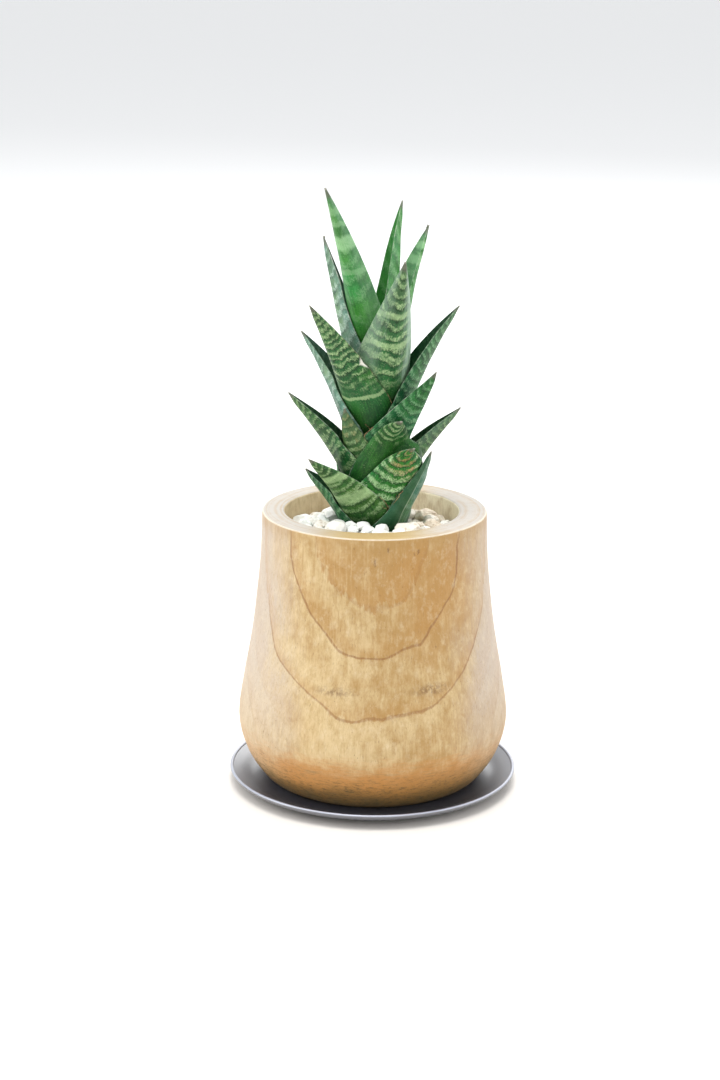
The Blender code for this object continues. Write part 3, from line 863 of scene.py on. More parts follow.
class Tone(Enum):
    """A leaf's greens: its darkest, its middle and its pale bands' colour."""

    FRESH = ((0.018, 0.155, 0.024), (0.050, 0.290, 0.052), (0.30, 0.55, 0.27))
    JADE = ((0.005, 0.070, 0.020), (0.022, 0.175, 0.042), (0.24, 0.47, 0.24))
    LIME = ((0.006, 0.085, 0.014), (0.024, 0.210, 0.030), (0.50, 0.76, 0.40))
    MOSS = ((0.006, 0.056, 0.012), (0.022, 0.140, 0.024), (0.36, 0.52, 0.25))
    OLIVE = ((0.010, 0.060, 0.010), (0.042, 0.155, 0.026), (0.44, 0.64, 0.31))
    SILVER = ((0.036, 0.140, 0.074), (0.120, 0.290, 0.175), (0.50, 0.66, 0.55))


class Margin(Enum):
    """The colour of a leaf's thin margin."""

    PALE = (0.38, 0.47, 0.34)
    WHITE = (0.66, 0.68, 0.60)
    PINK = (0.42, 0.27, 0.18)


class BladeGraph(Graph):
    """A leaf's material: across runs from -1 to 1 between its margins, and along from 0 at the root to 1."""

    own_step = 17.3

    def __init__(self, name: str, length: float, half_width: float, seed: int) -> None:
        """Reads the leaf's own map, in millimetres, each leaf in its own part of the noise.

        Args:
            name: The material's name.
            length: The leaf's length.
            half_width: Its half width.
            seed: Its number.
        """
        super().__init__(name)
        u, self.along, _ = self.parts(self.node("ShaderNodeUVMap", {"uv_map": "blade"}))
        self.across = u * 2 - 1
        width = self.across * (half_width * MILLIMETRES)
        self.place = self.vector(width, self.along * (length * MILLIMETRES), seed * self.own_step)


@dataclass(frozen=True)
class LeafLook:
    """How one leaf is marked.

    Bands is how many cross bands it has. Contrast is their strength, plain the share of the leaf at its root
    that has none, and ragged how far the fibres shift their edges. Broad widens the pale bands. Zones lists
    single wide bands, each by its place from root to tip, its half width and its strength, below 0 for a dark
    one. Left and right name the margins as seen from outside. The flank sheen pair is the strength of the
    painted sheen on the left and right flank. Bronze tints the tip's bands orange-brown, and aged greys the
    leaf toward its tip. Inner is the inner face's tint and its share; the default tint is a painted shade,
    near black green, over the inner face's own darker green. Split is the tint of the leaf's left part and
    how far across it ends.
    Wide margin widens the right margin.
    """

    tone: Tone
    bands: float = 12.0
    contrast: float = 0.7
    plain: float = 0.30
    ragged: float = 0.5
    broad: float = 0.0
    zones: tuple[tuple[float, float, float], ...] = ()
    left: Margin = Margin.PALE
    right: Margin = Margin.PALE
    # Strength of the painted sheen on the left and right flank.
    flank_sheen: tuple[float, float] = (0.0, 0.0)
    bronze: float = 0.0
    aged: float = 0.25
    # The default inner tint is a painted shade, near black green, over the inner face's own darker green.
    inner: tuple[Colour, float] = ((0.006, 0.034, 0.015), 0.78)
    split: tuple[Colour, float] | None = None
    wide_margin: float = 0.0
    torn: float | None = None

    horn: Colour = (0.13, 0.135, 0.10)
    horn_end: Colour = (0.45, 0.42, 0.36)
    sheen: Colour = (0.42, 0.57, 0.46)
    grey: Colour = (0.14, 0.19, 0.12)
    bronze_tint: Colour = (0.50, 0.26, 0.12)
    torn_white: Colour = (0.84, 0.80, 0.72)

    def material(self, graph: BladeGraph) -> bpy.types.Material:
        """The look as a material, made in its empty graph."""
        dark, middle, pale = self.tone.value
        across, v = graph.across, graph.along
        streak = graph.noise((1.1, 0.09, 1.0), 3.0, 0.6)
        cloud = graph.noise((0.11, 0.08, 1.0), 3.0)
        meal = graph.noise((1.5, 1.0, 1.0), 3.0, 0.7)
        body = graph.smooth(streak * 0.30 + cloud * 0.35 + meal * 0.35, 0.40, 0.60)
        colour = graph.blend(dark, middle, body)
        hue = graph.noise((0.045, 0.040, 1.0))
        hue = graph.blend((1.25, 1.03, 0.78), (0.78, 0.97, 1.18), graph.smooth(hue, 0.38, 0.62))
        colour = graph.vector_math("MULTIPLY", colour, hue)
        colour = graph.blend(colour, self.grey, graph.smooth(v, 0.45, 1.0) * self.aged)
        pale_share, dark_share = self.bands_at(graph, self.phase(graph))
        colour = graph.blend(colour, tuple(0.55 * part for part in dark), dark_share)
        band = graph.blend(pale, middle, graph.smooth(streak * 0.5 + meal * 0.5, 0.48, 0.66, 0.0, 0.60))
        if self.bronze:
            warm = graph.smooth(v + across * 0.15, 0.45, 0.80) * graph.smooth(cloud, 0.34, 0.56) * self.bronze
            band = graph.blend(band, self.bronze_tint, warm)
        colour = graph.blend(colour, band, pale_share)
        colour = self.single_bands(graph, colour, band)
        dots = graph.smooth(graph.noise((1.7, 1.5, 1.0), 2.0, 0.6), 0.62, 0.72)
        colour = graph.blend(colour, pale, dots * graph.smooth(cloud, 0.40, 0.60, 0.15, 0.60))
        colour = self.flanks(graph, colour)
        if self.split is not None:
            tint, end = self.split
            part = graph.smooth(across + streak * 0.06, end, end + 0.05, 0.80, 0.0)
            colour = graph.blend(colour, tint, part)
            crease = 1 - graph.smooth(abs(across - end - 0.03), 0.015, 0.05)
            colour = graph.blend(colour, self.left.value, crease * 0.6)
        # The inner face is tinted. By default this is a painted shade over its own darker green.
        tint, share = self.inner
        colour = graph.blend(colour, tint, graph.attribute("inside") * share)
        # Painted shade: darker toward the root, where the leaf sits deep among the others.
        colour = graph.shade(colour, graph.smooth(v, 0.02, 0.34, 0.42, 1.0))
        colour = self.edges(graph, colour)
        rough = 0.42 + streak * 0.10 + pale_share * 0.10
        fine = graph.noise((1.6, 0.22, 1.0), 3.0)
        relief = graph.bump(meal, 0.00008, graph.bump(streak, 0.00018))
        relief = graph.bump(fine, 0.00006, relief)
        return graph.finish(
            Base_Color=colour, Roughness=rough, Normal=relief, Specular_IOR_Level=0.22,
            Coat_Weight=0.04, Coat_Roughness=0.25,
        )

    def phase(self, graph: BladeGraph) -> Value:
        """Counts the bands up the leaf, bowed down in the middle, warped, and ragged at the fibres."""
        warp = graph.noise((0.10, 0.12, 1.0)) - 0.5
        comb = graph.noise((0.85, 0.20, 1.0), 3.0, 0.7) - 0.5
        teeth = graph.noise((2.3, 0.60, 1.0), 2.0, 0.6) - 0.5
        count = (graph.along**1.4) * self.bands - graph.across * graph.across * 0.8
        return count + warp * (0.095 * self.bands) + comb * (0.9 * self.ragged) + teeth * (0.8 * self.ragged)

    def bands_at(self, graph: BladeGraph, phase: Value) -> tuple[Value, Value]:
        """The shares of the pale bands and of the dark lines beside them, from the count of bands."""
        wave = phase.math("PINGPONG", 0.5) * 2
        later = (phase + 0.27).math("PINGPONG", 0.5) * 2
        number = graph.vector((phase + 0.5).math("FLOOR") * 3.7, 0.0, 0.0)
        own = graph.noise((1.0, 1.0, 1.0), 0.0, place=number) - 0.5
        patch = graph.noise((0.16, 0.26, 1.0), 3.0, 0.6)
        level = 0.88 - patch * 0.52 - own * 0.70 - self.broad
        pale_share = graph.smooth(wave, level - 0.18, level + 0.18)
        stroke = graph.noise((0.95, 0.95, 1.0), 3.0, 0.75)
        pale_share = pale_share * graph.smooth(stroke, 0.40, 0.58, 0.16, 1.0)
        pale_share = pale_share * graph.smooth(patch, 0.34, 0.60, 0.50, 1.0)
        start = graph.smooth(graph.along + (patch - 0.5) * 0.25, self.plain - 0.08, self.plain + 0.14)
        pale_share = pale_share * start * self.contrast
        dashes = graph.smooth(graph.noise((0.5, 1.7, 1.0), 3.0, 0.65), 0.60, 0.70, 0.0, 0.38)
        pale_share = pale_share.math("MAXIMUM", dashes * (0.30 + start * 0.70) * self.contrast)
        dark_share = graph.smooth(later, 0.58, 0.88) * start * (0.85 * self.contrast)
        return pale_share, dark_share

    def single_bands(self, graph: BladeGraph, colour: Value, pale: Value) -> Value:
        """Adds the leaf's own few wide bands.

        Args:
            graph: The material.
            colour: The colour so far.
            pale: The pale bands' colour.

        Returns:
            The colour with them.
        """
        if not self.zones:
            return colour
        wave = graph.noise((0.14, 0.12, 1.0), 3.0) - 0.5
        comb = graph.noise((1.6, 0.4, 1.0), 2.0, 0.6) - 0.5
        course = graph.along + wave * 0.035 + comb * 0.018
        dark = tuple(0.8 * part for part in self.tone.value[0])
        for centre, half, strength in self.zones:
            share = 1 - graph.smooth(abs(course - centre), half * 0.6, half * 1.25)
            colour = graph.blend(colour, pale if strength > 0 else dark, share * abs(strength))
        return colour

    def flanks(self, graph: BladeGraph, colour: Value) -> Value:
        """Adds the painted silvery sheen on the flanks that have one."""
        cloud = graph.noise((0.30, 0.10, 1.0), 4.0, 0.6)
        for side, strength in zip((-1.0, 1.0), self.flank_sheen):
            if strength:
                # Painted sheen, growing toward this flank's margin.
                flank = graph.smooth(graph.across * side + cloud * 0.9 - 0.45, 0.20, 0.80)
                colour = graph.blend(colour, self.sheen, flank * strength)
        return colour

    def edges(self, graph: BladeGraph, colour: Value) -> Value:
        """Adds the margins, the horny tip, and a torn place where there is one."""
        across, v = graph.across, graph.along
        uneven = graph.noise((0.2, 0.45, 1.0)) * 0.05
        for side, margin in zip((-1.0, 1.0), (self.left, self.right)):
            start = 0.985 - (self.wide_margin if side > 0 else 0.0)
            edge = graph.smooth(across * side + uneven * 1.5 - 0.035, start, start + 0.035)
            colour = graph.blend(colour, margin.value, edge * 0.75)
        if self.torn is not None:
            bite = 1 - graph.smooth(abs(v - self.torn) * 20 + (1 - across) * 4 + uneven * 12, 0.7, 1.3)
            colour = graph.blend(colour, self.torn_white, bite)
        colour = graph.blend(colour, self.horn, graph.smooth(v + uneven * 0.5, 0.945, 0.985, 0.0, 0.85))
        return graph.blend(colour, self.horn_end, graph.smooth(v, 0.988, 0.998, 0.0, 0.7))


@dataclass(frozen=True)
class LeafForm:
    """One leaf, by where it clasps the stem and where its tip is.

    Azimuth is in degrees from the front, positive to the right seen from the front. Reach is the tip's
    distance from the plant's axis. Width is the blade's greatest half width, measured round its curve.
    Lean is the tip's slant from upright, in degrees. Taper is higher on a blunter leaf, and keel is how
    sharply its halves meet.
    """

    name: str
    azimuth: float
    base: float
    reach: float
    height: float
    width: float
    lean: float
    look: LeafLook
    taper: float = 1.4
    keel: float = 0.5


@dataclass
class Plant:
    """The stacked leaves, each fitted round the younger ones."""

    leaves: tuple[LeafForm, ...]
    rows: int = 96
    columns: int = 40
    gap: float = 0.0004
    stem_radius_low: float = 0.0095
    stem_radius_high: float = 0.0030
    stem_top: float = 0.232
    soil_top: float = 0.1275
    clasp_lean: tuple[float, float] = (math.radians(16), math.radians(20))
    root_handle: float = 0.36
    tip_handle: float = 0.34
    clasp_angle: float = math.radians(98)
    clasp_share: float = 0.18
    widest_share: float = 0.32
    blade_share: float = 0.55
    folds: tuple[float, float, float] = (math.radians(84), math.radians(64), math.radians(54))
    keel_share: float = 0.7
    keel_slope: float = math.radians(44)
    keel_rounding: float = 0.10
    thickness_base: float = 0.0021
    thickness_tip: float = 0.0012
    thickness_margin: float = 0.0005
    root_thinness: float = 0.55
    root_share: float = 0.12
    tip_half_width: float = 0.00022
    fit_rounds: int = 4
    fit_spread: int = 4
    waviness: float = 0.00022
    waviness_scale: float = 90.0
    root_gap: float = 0.0005
    tip_thinness: float = 0.75
    tip_share: float = 0.1
    bite_length: float = 0.022
    bite_depth: float = 0.0016
    bite_start: float = 0.70
    bite_width: float = 0.30
    bite_raggedness: float = 0.35
    bite_teeth: float = 700.0
    search_rows: int = 3
    search_columns: int = 2
    outer_faces: list[np.ndarray] = field(default_factory=list)
    faces: dict[str, np.ndarray] = field(default_factory=dict)

    def stem_radius(self, height: float) -> float:
        """The stem's radius at a height."""
        share = max(0.0, (height - self.soil_top) / (self.stem_top - self.soil_top))
        return self.stem_radius_low + (self.stem_radius_high - self.stem_radius_low) * share

    def midrib(self, leaf: LeafForm) -> tuple[np.ndarray, np.ndarray, np.ndarray]:
        """The leaf's middle line.

        Args:
            leaf: The leaf.

        Returns:
            Radius, height and slant from upright at each row, evenly spaced.
        """
        start = np.array([self.stem_radius(leaf.base) + self.root_gap, leaf.base])
        end = np.array([leaf.reach, leaf.height])
        length = np.linalg.norm(end - start)
        youngest, oldest = self.leaves[0].base, self.leaves[-1].base
        age = (youngest - leaf.base) / (youngest - oldest)
        clasp = self.clasp_lean[0] + (self.clasp_lean[1] - self.clasp_lean[0]) * age
        lean = math.radians(leaf.lean)
        low = start + self.root_handle * length * np.array([math.sin(clasp), math.cos(clasp)])
        high = end - self.tip_handle * length * np.array([math.sin(lean), math.cos(lean)])
        t = np.linspace(0, 1, 400)[:, None]
        run = (1 - t) ** 3 * start + 3 * (1 - t) ** 2 * t * low + 3 * (1 - t) * t**2 * high + t**3 * end
        step = np.diff(run, axis=0)
        travelled = np.concatenate([[0.0], np.cumsum(np.linalg.norm(step, axis=1))])
        slant = np.arctan2(step[:, 0], step[:, 1])
        slant = np.concatenate([slant, slant[-1:]])
        rows = np.linspace(0, travelled[-1], self.rows + 1)
        return tuple(np.interp(rows, travelled, values) for values in (run[:, 0], run[:, 1], slant))

    def half_widths(self, leaf: LeafForm, along: np.ndarray) -> np.ndarray:
        """The leaf's half width round its curve: clasping at the root, widest above it, then tapered."""
        clasp_width = (self.stem_radius(leaf.base) + self.root_gap) * self.clasp_angle
        taper = 1 - np.clip((along - self.clasp_share) / (1 - self.clasp_share), 0, 1) ** leaf.taper
        width = (clasp_width + (leaf.width - clasp_width) * ease(along / self.widest_share)) * taper
        return np.maximum(width, self.tip_half_width)

    def blade(self, leaf: LeafForm) -> np.ndarray:
        """The inner face before it is fitted, as rows by columns of points."""
        along = np.linspace(0, 1, self.rows + 1)[:, None]
        across = np.linspace(-1, 1, self.columns + 1)[None, :]
        radius, height, slant = (values[:, None] for values in self.midrib(leaf))
        half_width = self.half_widths(leaf, along)
        shares = (0, self.clasp_share, self.blade_share, 1)
        fold = np.interp(along, shares, (self.clasp_angle, *self.folds))
        bend = half_width / fold
        keel = leaf.keel * ease(along / self.keel_share)
        ridge = np.sqrt(across**2 + self.keel_rounding**2) - self.keel_rounding
        side = (1 - keel) * bend * np.sin(fold * across)
        side = side + keel * half_width * math.cos(self.keel_slope) * across
        depth = (1 - keel) * bend * (1 - np.cos(fold * across))
        depth = depth + keel * half_width * math.sin(self.keel_slope) * ridge
        if leaf.look.torn is not None:
            bite = np.exp(-(((along - leaf.look.torn) / self.bite_length) ** 2))
            bite = bite * ease((across - self.bite_start) / self.bite_width)
            ragged = 1 + self.bite_raggedness * np.sin(along * self.bite_teeth)
            side = side - bite * ragged * self.bite_depth
        out = radius - depth * np.cos(slant)
        azimuth = math.radians(leaf.azimuth)
        x = out * math.sin(azimuth) + side * math.cos(azimuth)
        y = -out * math.cos(azimuth) + side * math.sin(azimuth)
        z = height + depth * np.sin(slant)
        return np.stack([x, y, z], axis=-1)

    def fit(self, face: np.ndarray, tree: BVHTree) -> np.ndarray:
        """Moves a leaf's inner face outward until it clears the younger growth.

        Args:
            face: The face as rows by columns of points.
            tree: The younger growth.

        Returns:
            The fitted face.
        """
        for _ in range(self.fit_rounds):
            radius = np.hypot(face[..., 0], face[..., 1])
            reach = np.array([[reach_at(tree, *point) for point in row] for row in face])
            short = np.where(reach > 0, np.maximum(reach + self.gap - radius, 0), 0)
            if short.max() < 1e-5:
                break
            push = self.blurred(self.widened(short, self.fit_spread), self.fit_spread)
            face = face.copy()
            face[..., :2] *= (1 + push / np.maximum(radius, 1e-6))[..., None]
        return face

    @staticmethod
    def widened(values: np.ndarray, reach: int) -> np.ndarray:
        """Each value as the largest within some cells of it."""
        for _ in range(reach):
            wide = np.pad(values, 1, mode="edge")
            rows = np.maximum(np.maximum(wide[:-2], wide[1:-1]), wide[2:])
            values = np.maximum(np.maximum(rows[:, :-2], rows[:, 1:-1]), rows[:, 2:])
        return values

    @staticmethod
    def blurred(values: np.ndarray, rounds: int) -> np.ndarray:
        """Each value shared with its neighbours, some times over."""
        for _ in range(rounds * 2):
            wide = np.pad(values, 1, mode="edge")
            rows = (wide[:-2] + 2 * wide[1:-1] + wide[2:]) / 4
            values = (rows[:, :-2] + 2 * rows[:, 1:-1] + rows[:, 2:]) / 4
        return values

    @staticmethod
    def outward(face: np.ndarray) -> np.ndarray:
        """Unit normals of a leaf's face, pointing away from the stem."""
        normal = np.cross(np.gradient(face, axis=1), np.gradient(face, axis=0))
        return normal / np.maximum(np.linalg.norm(normal, axis=-1, keepdims=True), 1e-12)

    def thickness(self) -> np.ndarray:
        """The leaf's thickness at each point: full at the middle, thin at the root and the margins."""
        along = np.linspace(0, 1, self.rows + 1)[:, None]
        across = np.linspace(-1, 1, self.columns + 1)[None, :]
        middle = self.thickness_base + (self.thickness_tip - self.thickness_base) * along
        root = self.root_thinness + (1 - self.root_thinness) * ease(along / self.root_share)
        end = 1 - self.tip_thinness * ease((along - (1 - self.tip_share)) / self.tip_share)
        body = np.sqrt(1 - across**2)
        return self.thickness_margin + (middle * root - self.thickness_margin) * body * end

    def wavy(self, face: np.ndarray, seed: int) -> np.ndarray:
        """A face with its slight natural unevenness."""
        flat = face.reshape(-1, 3) * self.waviness_scale
        shifts = np.array([noise.noise(Vector(point) + Vector((seed, 0.0, 0.0))) for point in flat])
        return face + self.outward(face) * (shifts.reshape(face.shape[:2]) * self.waviness)[..., None]

    def younger_growth(self, stem: bpy.types.Object) -> BVHTree:
        """The stem and the outer faces of the leaves made so far, as one search tree."""
        points = [vertex.co.copy() for vertex in stem.data.vertices]
        quads = [list(polygon.vertices) for polygon in stem.data.polygons]
        for face in self.outer_faces:
            base = len(points)
            rows, columns = face.shape[:2]
            points += [Vector(point) for point in face.reshape(-1, 3)]
            for i in range(rows - 1):
                for j in range(columns - 1):
                    corner = base + i * columns + j
                    quads.append([corner, corner + 1, corner + columns + 1, corner + columns])
        return BVHTree.FromPolygons(points, quads)

    def leaf_mesh(self, leaf: LeafForm, face: np.ndarray) -> bpy.types.Object:
        """A grid bent to the leaf's inner face and given its thickness.

        Args:
            leaf: The leaf.
            face: Its inner face.

        Returns:
            The piece, with its lengthwise map and the share of its inner side.
        """
        Workbench.clear_selection()
        bpy.ops.mesh.primitive_grid_add(
            x_subdivisions=self.columns, y_subdivisions=self.rows, size=1.0, calc_uvs=True
        )
        piece = Workbench.made(leaf.name + "_blade")
        piece.data.uv_layers[0].name = "blade"
        flat = Workbench.points(piece.data)
        column = np.rint((flat[:, 0] + 0.5) * self.columns).astype(int)
        row = np.rint((flat[:, 1] + 0.5) * self.rows).astype(int)
        Workbench.set_points(piece.data, face[row, column])
        thickness = self.thickness()[row, column]
        most = float(thickness.max())
        group = piece.vertex_groups.new(name="thickness")
        for k, value in enumerate(thickness):
            group.add([k], float(value) / most, "REPLACE")
        inner = face[row, column]
        Workbench.apply(piece, "SOLIDIFY", thickness=most, offset=1.0, vertex_group=group.name)
        piece.vertex_groups.clear()
        points = Workbench.points(piece.data)
        first_is_inner = np.abs(points[: len(inner)] - inner).max() < most / 100
        first_half = np.arange(len(points)) < len(inner)
        Workbench.mark(piece.data, "inside", first_half == first_is_inner)
        Workbench.take(piece)
        bpy.ops.object.mode_set(mode="EDIT")
        bpy.ops.mesh.select_all(action="SELECT")
        bpy.ops.mesh.normals_make_consistent(inside=False)
        bpy.ops.object.mode_set(mode="OBJECT")
        bpy.ops.object.shade_smooth()
        return piece

    def build(self, stem: bpy.types.Object) -> list[bpy.types.Object]:
        """Makes and dresses every leaf, from the youngest outward.

        Args:
            stem: The stem that they clasp.

        Returns:
            The leaves.
        """
        made = []
        thickness = self.thickness()
        for seed, leaf in enumerate(self.leaves):
            face = self.fit(self.blade(leaf), self.younger_growth(stem))
            outer = face + self.outward(face) * thickness[..., None]
            self.outer_faces.append(outer[:: self.search_rows, :: self.search_columns])
            self.faces[leaf.name] = outer
            piece = self.leaf_mesh(leaf, self.wavy(face, seed))
            radius, height, _ = self.midrib(leaf)
            length = float(np.hypot(np.diff(radius), np.diff(height)).sum())
            skin = leaf.look.material(BladeGraph(leaf.name + "_skin", length, leaf.width, seed))
            Workbench.hand_over(piece, skin, leaf.name, "leaf_green")
            made.append(piece)
        return made


@dataclass(frozen=True)
class DryThread:
    """The brown skin of a withered margin."""

    dark: Colour = (0.11, 0.055, 0.025)
    light: Colour = (0.46, 0.33, 0.15)

    def material(self) -> bpy.types.Material:
        """The finish as a material."""
        graph = Graph("thread_dry")
        along = graph.noise((0.5, 0.5, 0.5))
        fine = graph.noise((4.0, 4.0, 4.0))
        colour = graph.blend(self.dark, self.light, graph.smooth(along * 0.7 + fine * 0.3, 0.40, 0.62))
        return graph.finish(Base_Color=colour, Roughness=0.65 + fine * 0.2, Normal=graph.bump(fine, 0.0001))


@dataclass(frozen=True)
class Fibre:
    """One dry thread on a leaf: its two ends, each as shares along and across the leaf, and its radius.

    Lift is how far its loose end stands off the leaf.
    """

    leaf: str
    start: tuple[float, float]
    end: tuple[float, float]
    radius: float = 0.00022
    lift: float = 0.0003


@dataclass
class DryFibres:
    """The threads that peel off old margins."""

    fibres: tuple[Fibre, ...]
    steps: int = 16
    wobble: float = 0.0004
    finish: DryThread = field(default_factory=DryThread)

    def path(self, fibre: Fibre, face: np.ndarray, seed: int) -> np.ndarray:
        """The thread's middle line on a leaf's outer face.

        Args:
            fibre: The thread.
            face: The face as rows by columns of points.
            seed: Its own wobble.

        Returns:
            The line's points.
        """
        out = Plant.outward(face)
        last = np.array(face.shape[:2]) - 1
        points = []
        for share in np.linspace(0, 1, self.steps):
            along, across = ((1 - share) * a + share * b for a, b in zip(fibre.start, fibre.end))
            row, column = np.rint(np.array([along, (across + 1) / 2]) * last).astype(int)
            shift = Vector((share * 3.0, seed * 7.1, 0.0))
            wander = np.array([noise.noise(shift + Vector((0, 0, k * 5.3))) for k in range(3)]) * self.wobble
            points.append(face[row, column] + out[row, column] * (fibre.radius + fibre.lift * share) + wander)
        return np.array(points)

    def thread(self, fibre: Fibre, path: np.ndarray) -> bpy.types.Object:
        """One tapered thread along a line."""
        Workbench.clear_selection()
        bpy.ops.curve.primitive_nurbs_path_add()
        piece = bpy.context.active_object
        piece.location = (0.0, 0.0, 0.0)
        curve = piece.data
        curve.splines.clear()
        spline = curve.splines.new("POLY")
        spline.points.add(len(path) - 1)
        for share, point, place in zip(np.linspace(0, 1, len(path)), spline.points, path):
            point.co = (*place, 1.0)
            point.radius = 1.0 - 0.7 * share
        curve.bevel_depth = fibre.radius
        curve.bevel_resolution = 1
        curve.use_fill_caps = True
        Workbench.take(piece)
        bpy.ops.object.convert(target="MESH")
        return piece

    def build(self, faces: dict[str, np.ndarray]) -> bpy.types.Object:
        """Makes and dresses the threads on the leaves' outer faces."""
        threads = []
        for seed, fibre in enumerate(self.fibres):
            threads.append(self.thread(fibre, self.path(fibre, faces[fibre.leaf], seed)))
        Workbench.take(*threads)
        bpy.ops.object.join()
        piece = Workbench.made("fibres_dry")
        bpy.ops.object.shade_smooth()
        piece.data.materials.clear()
        piece.data.materials.append(self.finish.material())
        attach(piece, "root")
        LOG.info("%s has %d threads", piece.name, len(threads))
        return piece


@dataclass(frozen=True)
class TumbledStone:
    """White and beige tumbled stone."""

    white: Colour = (0.90, 0.91, 0.88)
    beige: Colour = (0.82, 0.72, 0.58)
    brown: Colour = (0.38, 0.24, 0.14)

    def material(self) -> bpy.types.Material:
        """The finish as a material."""
        graph = Graph("stone_tumbled")
        warm = graph.attribute("warm")
        cloud = graph.noise((0.35, 0.35, 0.35), 4.0, 0.6)
        grain = graph.noise((1.8, 1.8, 1.8), 4.0, 0.65)
        colour = graph.blend(self.white, self.beige, graph.smooth(warm + cloud * 0.5 - 0.25, 0.25, 0.95))
        colour = graph.blend(colour, self.brown, graph.smooth(cloud + warm * 0.22, 0.66, 0.86, 0.0, 0.55))
        colour = graph.shade(colour, 0.90 + grain * 0.16)
        relief = graph.bump(grain, 0.00025, graph.bump(cloud, 0.0006))
        return graph.finish(Base_Color=colour, Roughness=0.58 + grain * 0.25, Normal=relief)


